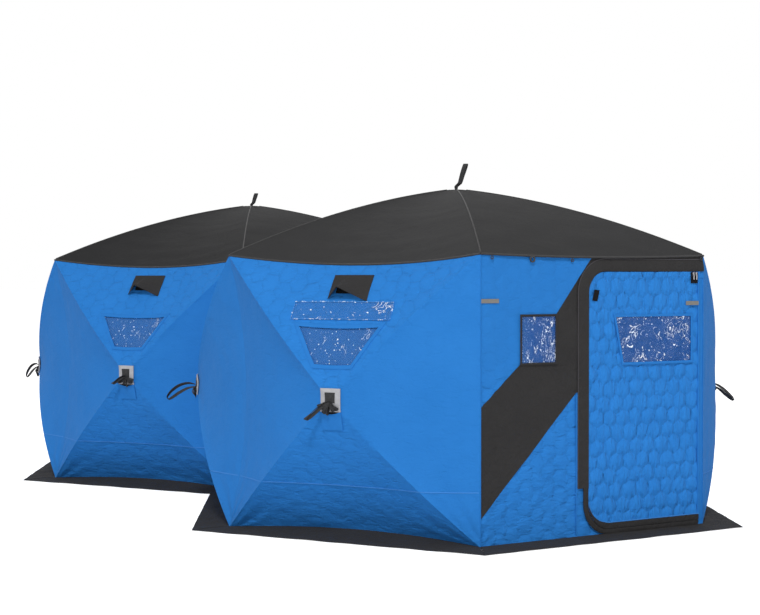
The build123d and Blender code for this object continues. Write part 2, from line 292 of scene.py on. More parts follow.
def mixTone(tree, share, dark, light):
    return addNode(tree, "ShaderNodeMix", {"data_type": "RGBA"}, i0=share, i6=dark, i7=light).outputs[2]


def noise(tree, vector, scale, detail, roughness=0.5, distortion=0.0):
    return addNode(tree, "ShaderNodeTexNoise", Vector=vector, Scale=scale, Detail=detail,
                   Roughness=roughness, Distortion=distortion).outputs["Fac"]


def smoothStep(tree, value, low, high, start=0.0, end=1.0):
    return addNode(tree, "ShaderNodeMapRange", {"interpolation_type": "SMOOTHSTEP"}, Value=value,
                   From_Min=low, From_Max=high, To_Min=start, To_Max=end).outputs[0]


def bumpNode(tree, strength, distance, height, under=None):
    wires = {"Normal": under} if under is not None else {}
    return addNode(tree, "ShaderNodeBump", Strength=strength, Distance=distance, Height=height,
                   **wires).outputs[0]


def coordinates(tree, kind):
    return addNode(tree, "ShaderNodeTexCoord").outputs[kind]


def quiltStrength(tree):
    return addNode(tree, "ShaderNodeAttribute", {"attribute_name": "quilt"}).outputs["Fac"]


def finishShader(tree, shader, colour, normal):
    tree.links.new(colour, shader.inputs["Base Color"])
    tree.links.new(normal, shader.inputs["Normal"])


# cloth materials
clothLook = {"specular": 0.04, "sheenRoughness": 0.5, "creaseBump": 0.5,
             "cloud": (4.0, 6.0, 0.6),  # scale, detail, roughness, distortion
             "creases": (26.0, 5.0, 0.62, 0.7), "weaveBump": (0.12, 0.0005)}  # strength, distance
# the last three quilt numbers paint light and shade into the colour: shade in the stitch lines, light on the
# full pads, and the level of the cloth between them
quiltLook = {"fullness": 2.5, "puckerStretch": (15, 42, 1), "pucker": (1.0, 3.0, 0.6, 0.6), "calm": -0.65,
             "puckerBump": (0.9, 0.020), "padBump": (0.8, 0.009),
             "stitchFine": 22.0, "stitchShadeDepth": 0.08, "padPaintedLight": 0.09, "paintedFlatLevel": 0.95}


def weaveHeight(tree, uv, thread):  # plain weave, thread spacing in metres
    wave = 2 * math.pi / thread
    across = vectorNode(tree, "DOT_PRODUCT", uv, (wave, 0, 0))["Value"]
    along = vectorNode(tree, "DOT_PRODUCT", uv, (0, wave, 0))["Value"]
    return mathNode(tree, "MULTIPLY", mathNode(tree, "SINE", across), mathNode(tree, "SINE", along))


def quiltRim(tree, uv):  # hexagons, 0 in the middle and 1 on the stitch line
    cell = (quilt["across"] * math.sqrt(3), quilt["across"], 1.0)
    half = tuple(size / 2 for size in cell)
    found = []
    for start in (half, (0, 0, 0)):
        moved = vectorNode(tree, "ADD", uv, start)[0]
        centred = vectorNode(tree, "SUBTRACT", vectorNode(tree, "WRAP", moved, cell)[0], half)[0]
        flat = vectorNode(tree, "MULTIPLY", centred, (1, 1, 0))[0]
        found.append((flat, vectorNode(tree, "LENGTH", flat)["Value"]))
    (first, firstLong), (second, secondLong) = found
    nearer = mathNode(tree, "LESS_THAN", firstLong, secondLong)
    chosen = addNode(tree, "ShaderNodeMix", {"data_type": "VECTOR"}, i0=nearer, i4=second, i5=first)
    size = vectorNode(tree, "ABSOLUTE", chosen.outputs[1])[0]
    level = vectorNode(tree, "DOT_PRODUCT", size, (0, 1, 0))["Value"]
    slant = vectorNode(tree, "DOT_PRODUCT", size, (math.sqrt(3) / 2, 0.5, 0))["Value"]
    rim = mathNode(tree, "MULTIPLY", mathNode(tree, "MAXIMUM", level, slant), 2 / quilt["across"])
    return mathNode(tree, "MINIMUM", rim, 1.0)


def clothMaterial(name, light, dark, roughness, thread, sheen=0.0, crease=0.0042, quilted=False):
    material, tree, shader = newMaterial(name, roughness, clothLook["specular"])
    uv = coordinates(tree, "UV")
    colour = mixTone(tree, noise(tree, uv, *clothLook["cloud"]), dark, light)
    normal = bumpNode(tree, clothLook["creaseBump"], crease, noise(tree, uv, *clothLook["creases"]))
    if quilted:
        rim = quiltRim(tree, uv)
        share = quiltStrength(tree)
        raised = mathNode(tree, "SUBTRACT", 1.0, mathNode(tree, "POWER", rim, quiltLook["fullness"]))
        pucker = noise(tree, vectorNode(tree, "MULTIPLY", uv, quiltLook["puckerStretch"])[0],
                       *quiltLook["pucker"])
        nearStitch = mathNode(tree, "MULTIPLY_ADD", raised, quiltLook["calm"], 1.0)
        gathers = mathNode(tree, "MULTIPLY", share, mathNode(tree, "MULTIPLY", pucker, nearStitch))
        # painted shade along the stitch lines and painted light on the full pads, scaled by the quilt share
        stitch = mathNode(tree, "POWER", rim, quiltLook["stitchFine"])
        paintedPadTone = mathNode(tree, "SUBTRACT", quiltLook["padPaintedLight"],
                          mathNode(tree, "MULTIPLY", stitch, quiltLook["stitchShadeDepth"]))
        shade = mathNode(tree, "MULTIPLY_ADD", share, paintedPadTone, quiltLook["paintedFlatLevel"])
        scaled = addNode(tree, "ShaderNodeVectorMath", {"operation": "SCALE"}, i0=colour, Scale=shade)
        colour = scaled.outputs[0]
        normal = bumpNode(tree, *quiltLook["puckerBump"], gathers, normal)
        normal = bumpNode(tree, *quiltLook["padBump"], mathNode(tree, "MULTIPLY", raised, share), normal)
    normal = bumpNode(tree, *clothLook["weaveBump"], weaveHeight(tree, uv, thread), normal)
    finishShader(tree, shader, colour, normal)
    shader.inputs["Sheen Weight"].default_value = sheen
    shader.inputs["Sheen Roughness"].default_value = clothLook["sheenRoughness"]
    return material


blueQuilt = clothMaterial("blueQuilt", (0.028, 0.207, 0.60), (0.020, 0.174, 0.53), 0.65, 0.0022,
                          sheen=0.025, quilted=True)
blueTape = clothMaterial("blueTape", (0.030, 0.207, 0.60), (0.020, 0.166, 0.51), 0.6, 0.0018)
roofCloth = clothMaterial("roofCloth", (0.045, 0.045, 0.046), (0.035, 0.035, 0.036), 0.8, 0.0022,
                          crease=0.007)
# a darker copy of the roof cloth: painted shade on the rear roof
rearRoofShadedCopy = clothMaterial("rearRoofPaintedShade", (0.034, 0.034, 0.035), (0.026, 0.026, 0.027), 0.8, 0.0022,
                          crease=0.007)
blackCloth = clothMaterial("blackCloth", (0.042, 0.041, 0.041), (0.029, 0.028, 0.029), 0.75, 0.002,
                           sheen=0.02, crease=0.022)
print("cloth materials made")


# hub walls
wall = {"bulge": 0.262, "bow": 0.8, "topSag": 0.060, "topIn": 0.115, "footLift": 0.030, "footIn": 0.100,
        "wideIn": 0.060, "wideBack": 0.104, "cells": 98, "crowd": 0.4, "meet": 12, "shine": 1.6,
        "middle": 1e-6, "tries": 8}
relief = {"fold": 0.14, "edge": 0.05, "hub": 0.06, "hubFade": 0.1, "padLevel": 0.7,
          "billow": (0.006, 0.55), "wrinkles": (0.0016, 0.16), "level": (0.0018, 0.055),  # depth, size
          "levelLong": 0.28, "levelFrom": 0.35, "levelOver": 0.4, "levelBlend": 6,
          "rays": 22, "rayCentre": 1.04, "rayReach": 0.2, "raySway": (2, 0.5),
          "rayFold": 0.06, "rayEdge": 0.03, "rayFoot": 0.012, "rayTop": 0.004}
padShare = {"side": 0.16, "foot": 0.24, "top": 0.34, "blend": 9}  # how full each panel's quilting is
hubWalls = {
    "front_left_wall": (210, "front", -1), "front_left_mid_wall": (150, "front", 1),
    "front_right_wall": (-30, "front", 1), "front_right_mid_wall": (30, "front", -1),
    "rear_left_wall": (150, "rear", 1), "rear_left_mid_wall": (210, "rear", -1),
    "rear_right_wall": (30, "rear", -1), "rear_right_mid_wall": (-30, "rear", 1),
}  # heading, room, and the side of the wall that is drawn in
wallSeed = {node: 10 * count + 3 for count, node in enumerate(hubWalls)}
wallsOf = {room: [node for node in hubWalls if hubWalls[node][1] == room] for room in rooms}
windowShape = {"top": 0.528, "bottom": 0.238, "wide": 0.626}  # shares of the wall
ventHole = {"top": 0.885, "bottom": 0.780, "half": 0.115}


def wallSurface(x, y, wide):  # x, y from -1 to 1 over the wall
    t = np.maximum(np.maximum(np.abs(x), np.abs(y)), wall["middle"])
    upright = np.abs(y) >= np.abs(x)
    tent = t * (1 - (np.where(upright, x, y) / t) ** 2)
    n = wall["bulge"] * (1 - wall["bow"] * t**2 - (1 - wall["bow"]) * t)
    top, foot, side = upright & (y > 0), upright & (y <= 0), ~upright & (x * wide > 0)
    n = n - tent * (top * wall["topIn"] + foot * wall["footIn"] + side * wall["wideBack"])
    z = hut["hubZ"] + y * hut["halfHigh"] + tent * (foot * wall["footLift"] - top * wall["topSag"])
    u = x * hut["clear"] - wide * side * tent * wall["wideIn"]
    return u, z, n


def quiltShare(x, y):  # the side panels are pulled nearly flat
    upright = clamp((np.abs(y) - np.abs(x)) * padShare["blend"] + 0.5)
    return padShare["side"] + (padShare["foot"] + padShare["top"] * (y > 0)) * upright


def wallRelief(x, y, u, z, seed):  # quilting, taut rays and soft wrinkles on the smooth wall
    wide, tall = np.abs(x), np.abs(y)
    t, gap = np.maximum(wide, tall), np.abs(wide - tall)
    taut = clamp(gap / relief["fold"]) * clamp((1 - t) / relief["edge"])
    taut = taut * clamp((t - relief["hub"]) / relief["hubFade"])
    soft = quilt["deep"] * quiltShare(x, y) * (puff(*warped(u, z)) - relief["padLevel"])
    for step, key in enumerate(("billow", "wrinkles"), 1):
        deep, size = relief[key]
        soft = soft + deep * ripple(u, z, size, seed + step)
    deep, size = relief["level"]  # creases that lie level near the foot
    lying = clamp((-y - relief["levelFrom"]) / relief["levelOver"])
    lying = lying * clamp((tall - wide) * relief["levelBlend"])
    soft = soft + deep * (ripple(u * relief["levelLong"], z, size, seed + 3) * lying)
    sway, size = relief["raySway"]  # rays out of the corners
    angle = np.arctan2(relief["rayCentre"] - tall, relief["rayCentre"] - wide)
    corner = np.exp(-np.hypot(1 - wide, 1 - tall) / relief["rayReach"])
    rays = np.sin(relief["rays"] * angle + sway * ripple(u, z, size, seed)) * corner
    rayDeep = np.where(y < 0, relief["rayFoot"], relief["rayTop"])
    return taut * soft + clamp(gap / relief["rayFold"]) * clamp((1 - t) / relief["rayEdge"]) * rayDeep * rays


def onWall(node):  # wall shares to the wall's own u, z and distance out
    def surface(x, y):
        u, z, n = wallSurface(x, y, hubWalls[node][2])
        return u, z, n + wallRelief(x, y, u, z, wallSeed[node])
    return surface


def onWallAt(node):  # u, z in metres on the wall
    def surface(u, z):
        x, y = u / hut["clear"], (z - hut["hubZ"]) / hut["halfHigh"]
        for _ in range(wall["tries"]):
            gotU, gotZ, n = wallSurface(x, y, hubWalls[node][2])
            x, y = x + (u - gotU) / hut["clear"], y + (z - gotZ) / hut["halfHigh"]
        return u, z, n + wallRelief(x, y, u, z, wallSeed[node])
    return surface


def onFlat(front):
    return lambda u, z: (u, z, np.full(len(u), front))


def trapezium(low, high, wide):
    return [(-low * wide, low), (low * wide, low), (high * wide, high), (-high * wide, high)]


def makeWall(node):
    heading, room, _ = hubWalls[node]
    piece = newGrid(wall["cells"], wall["cells"])
    points = readPoints(piece)
    crowded = wall["crowd"] * np.sin(math.pi * points) / math.pi  # finer towards the corners
    writePoints(piece, points + crowded)
    for normal in ((1, 1), (1, -1)):
        cutAlong(piece, (0, 0), normal)
    window = trapezium(windowShape["bottom"], windowShape["top"], windowShape["wide"])
    opening = rectangle(-ventHole["half"], ventHole["half"], ventHole["bottom"], ventHole["top"])
    for line in (window, opening):
        cutOut(piece, line[::-1])
    x, y, _ = readPoints(piece).T
    u, z, n = onWall(node)(x, y)
    u = u + (hut["half"] - hut["clear"]) * np.sign(x) * np.abs(x) ** wall["meet"]  # meets its neighbour
    writeUv(piece, *warped(u, z))
    writeQuilt(piece, wall["shine"] * quiltShare(x, y))
    setDown(piece, wallPlace(heading, rooms[room]), u, z, n)
    thicken(piece, hut["cloth"])
    dress([piece], node + "_cloth", blueQuilt, "blue_cloth", node)


for node in hubWalls:
    makeWall(node)
print("hub walls made")


# roofs
roof = {"rise": 0.467, "bow": 0.55, "sag": 0.060, "scallop": 0.115, "drape": 0.016, "drapeBend": 8,
        "hole": 0.03, "columns": 40, "rows": 46, "weld": 0.0004, "ridgeFade": 0.1, "edgeFade": 0.06,
        "billow": (0.0035, 1.0, 2.2, 0.45, 70),  # depth, share of u and n, size, seed
        "wrinkles": (0.0012, 0.5, 2.0, 0.10, 0)}


def roofSurface(c, t, scalloped, drape=0.0):  # c from side to side, t from the peak to the eave
    tent = t * (1 - c * c) * scalloped
    hang = drape * (1 - c * c) * t ** roof["drapeBend"]
    rise = roof["rise"] * (1 - roof["bow"] * t * t - (1 - roof["bow"]) * t)
    n = t * hut["apothem"] - roof["scallop"] * tent - hut["apothem"]
    return c * t * hut["half"], hut["roofEdge"] + rise - roof["sag"] * tent - hang, n + hang / 2


def isScalloped(heading):  # all sides but the door wall and the open side
    return heading not in (90, 270)


def eaveSag(u):
    return roof["drape"] * (1 - (u / hut["half"]) ** 2)


def endDrape(heading, room):  # only over a door wall does the edge hang down
    return roof["drape"] if heading == (270 if room == "front" else 90) else 0.0


def makeRoof(room):
    gores = []
    for turn, heading in enumerate(headings):
        gore = newGrid(roof["columns"], roof["rows"])
        c, y, _ = readPoints(gore).T
        t = roof["hole"] + (1 - roof["hole"]) * (y + 1) / 2
        u, z, n = roofSurface(c, t, isScalloped(heading), endDrape(heading, room))
        waves = 0
        for deep, alongU, alongN, size, seed in (roof["billow"], roof["wrinkles"]):
            waves = waves + deep * ripple(u * alongU, n * alongN, size, seed + turn)
        fade = clamp((1 - np.abs(c)) / roof["ridgeFade"]) * clamp((1 - t) / roof["edgeFade"])
        writeUv(gore, u + 3 * turn, n)
        writePoints(gore, inRoom(wallPlace(heading, rooms[room]), u, z + fade * t * waves, n))
        gores.append(gore)
    piece = joinAll(gores)
    editWhole(piece, bpy.ops.mesh.remove_doubles, threshold=roof["weld"])
    editWhole(piece, bpy.ops.mesh.normals_make_consistent, inside=False)
    turnUp(piece)
    thicken(piece, hut["cloth"])
    # the rear roof takes the darker copy, its painted shade
    material = roofCloth if room == "front" else rearRoofShadedCopy
    dress([piece], room + "_roof_cloth", material, "black_cloth", room + "_roof")


for room in rooms:
    makeRoof(room)
print("roofs made")


# door walls
endWall = {"left": -0.8748, "right": 0.8748, "over": 1.728, "under": 0.003, "cell": 0.0145,
           "headerCell": 0.02,
           "stripeTop": [(-0.03675, 1.727), (-0.30575, 1.371), (-0.58975, 1.063), (-0.8749, 0.8188)],
           "stripeFoot": [(-0.8749, 0.1612), (-0.15775, 0.887), (-0.01975, 0.887)],
           "window": [(-0.57475, 1.356), (-0.32075, 1.356), (-0.32075, 1.078), (-0.57475, 1.078)],
           "wayLeft": -0.01975, "wayRight": 0.778, "wayHigh": 1.59, "wayLow": 0.08, "jambGap": 0.0004}
doorShape = {"left": -0.06975, "right": 0.828, "low": 0.045, "high": 1.627, "topRadius": 0.13,
             "footRadius": 0.16, "front": 0.0133, "cell": 0.0104,
             "window": [(0.139, 1.346), (0.758, 1.346), (0.758, 1.062), (0.2, 1.062)]}
slackCloth = {"size": 0.4, "crush": 0.0016, "crushFlat": 0.6, "crushSize": 0.085, "gather": 0.006,
              "gatherReach": 0.2, "gatherFolds": 17, "gatherStart": 0.05, "sagFrom": 1.55, "sagOver": 0.177}
panelQuilt = {"high": 0.4, "low": 0.65, "from": 1.15, "over": 0.3}


def sheetGrid(left, right, low, high, cell):
    piece = newGrid(max(2, round((right - left) / cell)), max(2, round((high - low) / cell)))
    points = readPoints(piece)
    points[:, 0] = left + (points[:, 0] + 1) / 2 * (right - left)
    points[:, 1] = low + (points[:, 1] + 1) / 2 * (high - low)
    writePoints(piece, points)
    return piece


def flatCloth(piece, place, strength, seed, front=0.0, slack=0.004, turned=False):
    u, z, _ = readPoints(piece).T
    side, rise = u - endWall["left"], z - hut["base"]
    start = slackCloth["gatherStart"]
    folds = np.sin(slackCloth["gatherFolds"] * np.arctan2(z + start, side + start)) - 1
    gather = np.exp(-np.hypot(side, rise) / slackCloth["gatherReach"]) * folds  # folds out of the base corner
    strength = strength(z) if callable(strength) else strength
    a, b = warped(u, z)
    a, b = (b, a) if turned else (a, b)  # the door's hexagons stand on a corner
    n = front - quilt["deep"] * strength * (1 - puff(a, b))
    n = n + slack * (ripple(u, z, slackCloth["size"], seed) - 1) + slackCloth["gather"] * gather
    crush = ripple(u, z * slackCloth["crushFlat"], slackCloth["crushSize"], seed + 20) - 1
    n = n + slackCloth["crush"] * strength * crush
    writeUv(piece, a, b)
    writeQuilt(piece, strength)
    z = z - eaveSag(u) * clamp((z - slackCloth["sagFrom"]) / slackCloth["sagOver"]) ** 2
    setDown(piece, place, u, z, n)
    thicken(piece, hut["cloth"])


def endQuilt(height):  # the cloth is pulled flat higher up
    return panelQuilt["high"] + panelQuilt["low"] * clamp((panelQuilt["from"] - height) / panelQuilt["over"])


panelCloth = dict(strength=endQuilt, seed=5)
stripeCloth = dict(strength=0.25, seed=6)
headerCloth = dict(strength=0.1, seed=8, slack=0.002)
jambCloth = dict(strength=0.15, seed=9, slack=0.001)
sillCloth = dict(strength=1.0, seed=9, slack=0.002)
doorCloth = dict(strength=1.8, seed=12, slack=0.0012, front=doorShape["front"], turned=True)


def makeEndWall(room):
    place = endPlace(rooms[room])
    left, edge, over, under = (endWall[key] for key in ("left", "wayLeft", "over", "under"))
    top, foot, hole = endWall["stripeTop"], endWall["stripeFoot"], endWall["window"]
    upper = [(left, over), (top[0][0], over)] + top
    lower = [(left, under)] + foot + [(edge, under)]
    blue = sheetGrid(left, edge, hut["base"], hut["eave"], endWall["cell"])
    cutEdges(blue, top, closed=False)
    cutEdges(blue, foot, closed=False)
    cutEdges(blue, hole)
    isBlue = facesInside(blue, upper) | facesInside(blue, lower)
    isHole = facesInside(blue, hole)
    pick(blue)
    bpy.ops.object.duplicate()
    black = bpy.context.object
    dropFaces(blue, ~isBlue | isHole)
    dropFaces(black, isBlue | isHole)
    flatCloth(blue, place, **panelCloth)
    flatCloth(black, place, **stripeCloth)
    dress([blue], room + "_end_panel_cloth", blueQuilt, "blue_cloth", room + "_end_panels")
    dress([black], room + "_stripe_cloth", blackCloth, "black_cloth", room + "_stripe")
    header = sheetGrid(edge, endWall["right"], endWall["wayHigh"], hut["eave"], endWall["headerCell"])
    flatCloth(header, place, **headerCloth)
    dress([header], room + "_door_header_cloth", blackCloth, "black_cloth", room + "_door_header")
    jamb = sheetGrid(endWall["wayRight"] + endWall["jambGap"], endWall["right"], hut["base"],
                     endWall["wayHigh"], endWall["cell"])
    flatCloth(jamb, place, **jambCloth)
    sill = sheetGrid(edge, endWall["wayRight"], hut["base"], endWall["wayLow"], endWall["cell"])
    flatCloth(sill, place, **sillCloth)
    frameCloth = dress([jamb, sill], room + "_door_frame_cloth", blueQuilt, "blue_cloth",
                       room + "_door_frame")


def roundCorners(points):  # the door's two free corners
    for radius, rim, way in ((doorShape["topRadius"], doorShape["high"], 1),
                             (doorShape["footRadius"], doorShape["low"], -1)):
        middle, level = doorShape["left"] + radius, rim - way * radius
        across = (middle - points[:, 0]) / radius
        along = (points[:, 1] - level) * way / radius
        corner = (across > 0) & (along > 0)
        shrink = np.maximum(across, along) / np.maximum(np.hypot(across, along), tiny)
        points[:, 0] = np.where(corner, middle - across * shrink * radius, points[:, 0])
        points[:, 1] = np.where(corner, level + way * along * shrink * radius, points[:, 1])
    return points


def doorBody(room):  # only the front door swings
    return "door" if room == "front" else "hut"


def makeDoor(room):
    edges = (doorShape[key] for key in ("left", "right", "low", "high", "cell"))
    door = sheetGrid(*edges)
    cutOut(door, doorShape["window"])
    writePoints(door, roundCorners(readPoints(door)))
    flatCloth(door, endPlace(rooms[room]), **doorCloth)
    dress([door], room + "_door_cloth", blueQuilt, "blue_cloth", room + "_door", body=doorBody(room))


for room in rooms:
    makeEndWall(room)
    makeDoor(room)
print("door walls made")


# skirts
skirt = {"wide": 0.23, "thick": 0.003, "columns": 80, "rows": 12, "tuck": 0.008, "gap": 0.0005,
         "rise": 0.004, "riseBend": 2.5, "wave": 0.007, "waveSize": 0.22, "waveLong": 0.6, "waveBend": 0.7,
         "waveStart": 0.1}
skirtStrips = ((210, 1, 1, 1), (-30, 1, 1, 1), (-90, 1, 1, 0), (150, -1, 1, 1), (30, 1, -1, 1))


def makeSkirt(room):
    strips = []
    for heading, leftTurn, rightTurn, scalloped in skirtStrips:  # heading, both mitres, drawn in
        if room == "rear":
            heading, leftTurn, rightTurn = -heading, rightTurn, leftTurn
        piece = newGrid(skirt["columns"], skirt["rows"])
        c, y, _ = readPoints(piece).T
        v = (y + 1) / 2
        bow = (1 - c * c) * scalloped
        inner = -wall["footIn"] * bow - skirt["tuck"]
        n = inner + (skirt["wide"] - inner) * (1 - v)
        reach = hut["half"] + n * math.tan(math.radians(30)) * np.where(c < 0, leftTurn, rightTurn)
        u = c * (reach - skirt["gap"])
        wave = 0.5 + 0.5 * ripple(u, n * skirt["waveLong"], skirt["waveSize"], heading % 360)
        part = v * (1 - skirt["waveStart"]) + skirt["waveStart"]
        wave = wave * np.sin(math.pi * clamp(part)) ** skirt["waveBend"]
        lift = (wall["footLift"] * bow + skirt["rise"]) * v ** skirt["riseBend"]
        writeUv(piece, u, n)
        z = hut["base"] + lift + skirt["wave"] * wave
        writePoints(piece, inRoom(wallPlace(heading, rooms[room]), u, z, n))
        turnUp(piece)
        thicken(piece, skirt["thick"])
        strips.append(piece)
    piece = dress(strips, room + "_skirt_cloth", blackCloth, "black_cloth", room + "_skirt")


for room in rooms:
    makeSkirt(room)
print("skirts laid")


# trim materials, with noise and bump numbers in the order of the cloth's
trimLook = {"detail": 4.0, "rough": 0.6, "bump": 0.3, "dashSoft": 0.06}
webLook = {"roughness": 0.7, "specular": 0.3, "cloud": (60.0, 4.0), "bump": (0.5, 0.0008)}
# the line, patch, fleck and spark numbers place painted glints on the clear film; the crinkle also bumps it
vinylLook = {"roughness": 0.15, "specular": 0.2, "fewer": 0.17, "crinkle": (12.0, 1.5, 0.5, 2.2),
             "crinkleBump": (0.3, 0.008), "line": (0.004, 0.022), "patch": (10.0, 1.0, 0.5, 0.6),
             "patchCut": (0.51, 0.60), "fleck": (27.0, 1.0, 0.5, 1.6), "fleckCut": (0.69, 0.74),
             "fleckFewer": 0.4, "spark": (62.0, 0.0, 0.5, 0.4), "sparkCut": (0.775, 0.815),
             "calm": (0.060, 0.235, 0.60), "paintedGlint": (0.92, 0.95, 0.98)}


def trimMaterial(name, light, dark, roughness, grain, depth, specular=0.3, metal=0.0, cut=None):
    material, tree, shader = newMaterial(name, roughness, specular)
    cloud = noise(tree, coordinates(tree, "Object"), grain, trimLook["detail"], trimLook["rough"])
    blend = smoothStep(tree, cloud, cut, cut + trimLook["dashSoft"]) if cut else cloud  # with a cut, broken dashes of the light colour: the strip hem's painted glints
    normal = bumpNode(tree, trimLook["bump"], depth, cloud)
    finishShader(tree, shader, mixTone(tree, blend, dark, light), normal)
    shader.inputs["Metallic"].default_value = metal
    return material


def webbingMaterial(name, light, dark, rib):  # ribs across the strap, from its own UV map
    material, tree, shader = newMaterial(name, webLook["roughness"], webLook["specular"])
    uv = coordinates(tree, "UV")
    turns = 2 * math.pi / rib
    ribs = vectorNode(tree, "DOT_PRODUCT", uv, (turns, turns, 0))["Value"]
    wave = mathNode(tree, "MULTIPLY_ADD", mathNode(tree, "SINE", ribs), 0.5, 0.5)
    blend = mathNode(tree, "MULTIPLY", wave, noise(tree, uv, *webLook["cloud"]))
    finishShader(tree, shader, mixTone(tree, blend, dark, light), bumpNode(tree, *webLook["bump"], wave))
    return material


def vinylMaterial(name, tint, body):  # painted glints: white highlights painted on the film along crinkle lines, in flecks and in sparks
    material, tree, shader = newMaterial(name, vinylLook["roughness"], vinylLook["specular"])
    uv = coordinates(tree, "UV")
    share = quiltStrength(tree)
    fewer = mathNode(tree, "MULTIPLY", mathNode(tree, "SUBTRACT", share, 1.0), vinylLook["fewer"])
    crinkle = noise(tree, uv, *vinylLook["crinkle"])
    ridge = mathNode(tree, "ABSOLUTE", mathNode(tree, "SUBTRACT", crinkle, 0.5))
    crease = smoothStep(tree, ridge, *vinylLook["line"], 1.0, 0.0)
    patch = mathNode(tree, "ADD", noise(tree, uv, *vinylLook["patch"]), fewer)
    glintLines = mathNode(tree, "MULTIPLY", crease, smoothStep(tree, patch, *vinylLook["patchCut"]))
    fleck = mathNode(tree, "MULTIPLY_ADD", fewer, vinylLook["fleckFewer"],
                     noise(tree, uv, *vinylLook["fleck"]))
    flecks = smoothStep(tree, fleck, *vinylLook["fleckCut"])
    sparks = smoothStep(tree, noise(tree, uv, *vinylLook["spark"]), *vinylLook["sparkCut"])
    # painted highlights: where the glint mask is high, the film turns white and opaque
    paintedGlint = mathNode(tree, "MAXIMUM", glintLines, mathNode(tree, "MAXIMUM", flecks, sparks))
    film = mixTone(tree, share, vinylLook["calm"], tint)  # the lower the glint share, the more the film is tinted like the wall
    normal = bumpNode(tree, *vinylLook["crinkleBump"], crinkle)
    finishShader(tree, shader, mixTone(tree, paintedGlint, film, vinylLook["paintedGlint"]), normal)
    tree.links.new(mathNode(tree, "MULTIPLY_ADD", paintedGlint, 1 - body, body), shader.inputs["Alpha"])
    return material


clearVinyl = vinylMaterial("clearVinyl", (0.032, 0.12, 0.40), 0.42)
stripVinyl = vinylMaterial("stripVinyl", (0.06, 0.22, 0.56), 0.22)
blackWebbing = webbingMaterial("blackWebbing", (0.060, 0.060, 0.064), (0.016, 0.016, 0.017), 0.003)
greyWebbing = webbingMaterial("greyPatch", (0.56, 0.56, 0.59), (0.38, 0.38, 0.40), 0.004)
# lighter than the cloth: a painted highlight along the raised wall seams; the door's foot cord uses it too
bluePipingPaintedHighlight = trimMaterial("bluePipingPaintedHighlight", (0.060, 0.255, 0.66), (0.042, 0.205, 0.57), 0.6, 160.0, 0.0006, 0.05)
blackPiping = trimMaterial("blackPiping", (0.050, 0.049, 0.050), (0.030, 0.030, 0.031), 0.7, 160.0, 0.0006)
darkMesh = trimMaterial("darkMesh", (0.016, 0.016, 0.017), (0.006, 0.006, 0.007), 0.9, 900.0, 0.0008, 0.1)
# white dashes on the blue hem are painted glints
hemPaintedGlints = trimMaterial("hemPaintedGlints", (0.85, 0.91, 0.97), (0.05, 0.23, 0.60), 0.5, 60.0, 0.0004, 0.1,
                          cut=0.55)
seamThread = trimMaterial("seamThread", (0.075, 0.070, 0.080), (0.050, 0.047, 0.053), 0.7, 300.0, 0.0004)
reflective = trimMaterial("reflectiveTape", (0.23, 0.22, 0.205), (0.17, 0.165, 0.155), 0.5, 420.0, 0.0003,
                          0.2)
zipMetal = trimMaterial("zipMetal", (0.42, 0.42, 0.44), (0.20, 0.20, 0.21), 0.4, 90.0, 0.0003, 0.5, metal=1.0)
poleGlass = trimMaterial("poleFibreglass", (0.60, 0.58, 0.50), (0.46, 0.44, 0.37), 0.4, 90.0, 0.0004, 0.5)
hookTape = trimMaterial("hookTape", (0.013, 0.013, 0.014), (0.006, 0.006, 0.007), 0.9, 500.0, 0.0008, 0.1)
hubPlastic = trimMaterial("hubPlastic", (0.035, 0.035, 0.037), (0.022, 0.022, 0.023), 0.5, 220.0, 0.0004,
                          0.45)
print("trim materials made")


# trim helpers
trim = {"sharpest": 0.35, "crown": 0.35, "narrow": 0.02, "tubeSteps": 4, "tubeSides": 2}


def mitre(turn, heading):  # a sideways step that keeps a band's width round a corner
    way = turn / np.linalg.norm(turn)
    return np.array((-way[1], way[0])) / max(trim["sharpest"], way @ heading)


def stations(line, step, closed):  # evenly cut line with mitred offsets at its corners
    line = [np.array(point, float) for point in line]
    if closed:
        line = line + line[:1]
    places, sides = [], []
    heading = [(b - a) / np.linalg.norm(b - a) for a, b in zip(line, line[1:])]
    for index, (start, end) in enumerate(zip(line, line[1:])):
        parts = max(1, math.ceil(np.linalg.norm(end - start) / step))
        before = heading[index - 1] if index or closed else heading[index]
        for part in range(parts):
            places.append(start + (end - start) * part / parts)
            sides.append(mitre(heading[index] + (heading[index] if part else before), heading[index]))
    places.append(line[-1])
    sides.append(mitre(heading[-1] + heading[0 if closed else -1], heading[-1]))
    return np.array(places), np.array(sides)


def runAlong(points):  # distance along a line at each of its points
    return np.concatenate([[0], np.cumsum(np.linalg.norm(np.diff(points, axis=0), axis=1))])


def stationOf(x, count):  # the station that a grid's column belongs to
    return np.rint((x + 1) / 2 * (count - 1)).astype(int)


def band(place, surface, line, width, lift, thick=0.003, across=4, step=0.014, closed=False, shift=0.0,
         flare=0.0, lean=0.0):
    places, sides = stations(line, step, closed)
    piece = newGrid(len(places) - 1, across)
    x, y, _ = readPoints(piece).T
    index = stationOf(x, len(places))
    run = runAlong(places)
    grown = np.clip(run / flare, trim["narrow"], 1) if flare else np.ones(len(run))  # starts narrow
    spot = places[index] + sides[index] * ((y * width / 2 + shift) * grown[index])[:, None]
    u, z, n = surface(spot[:, 0], spot[:, 1])
    writeUv(piece, run[index], y * width / 2)
    setDown(piece, place, u, z, n + lift * (1 - trim["crown"] * y**4) - lean * (1 - y) / 2)
    thicken(piece, thick)
    return piece


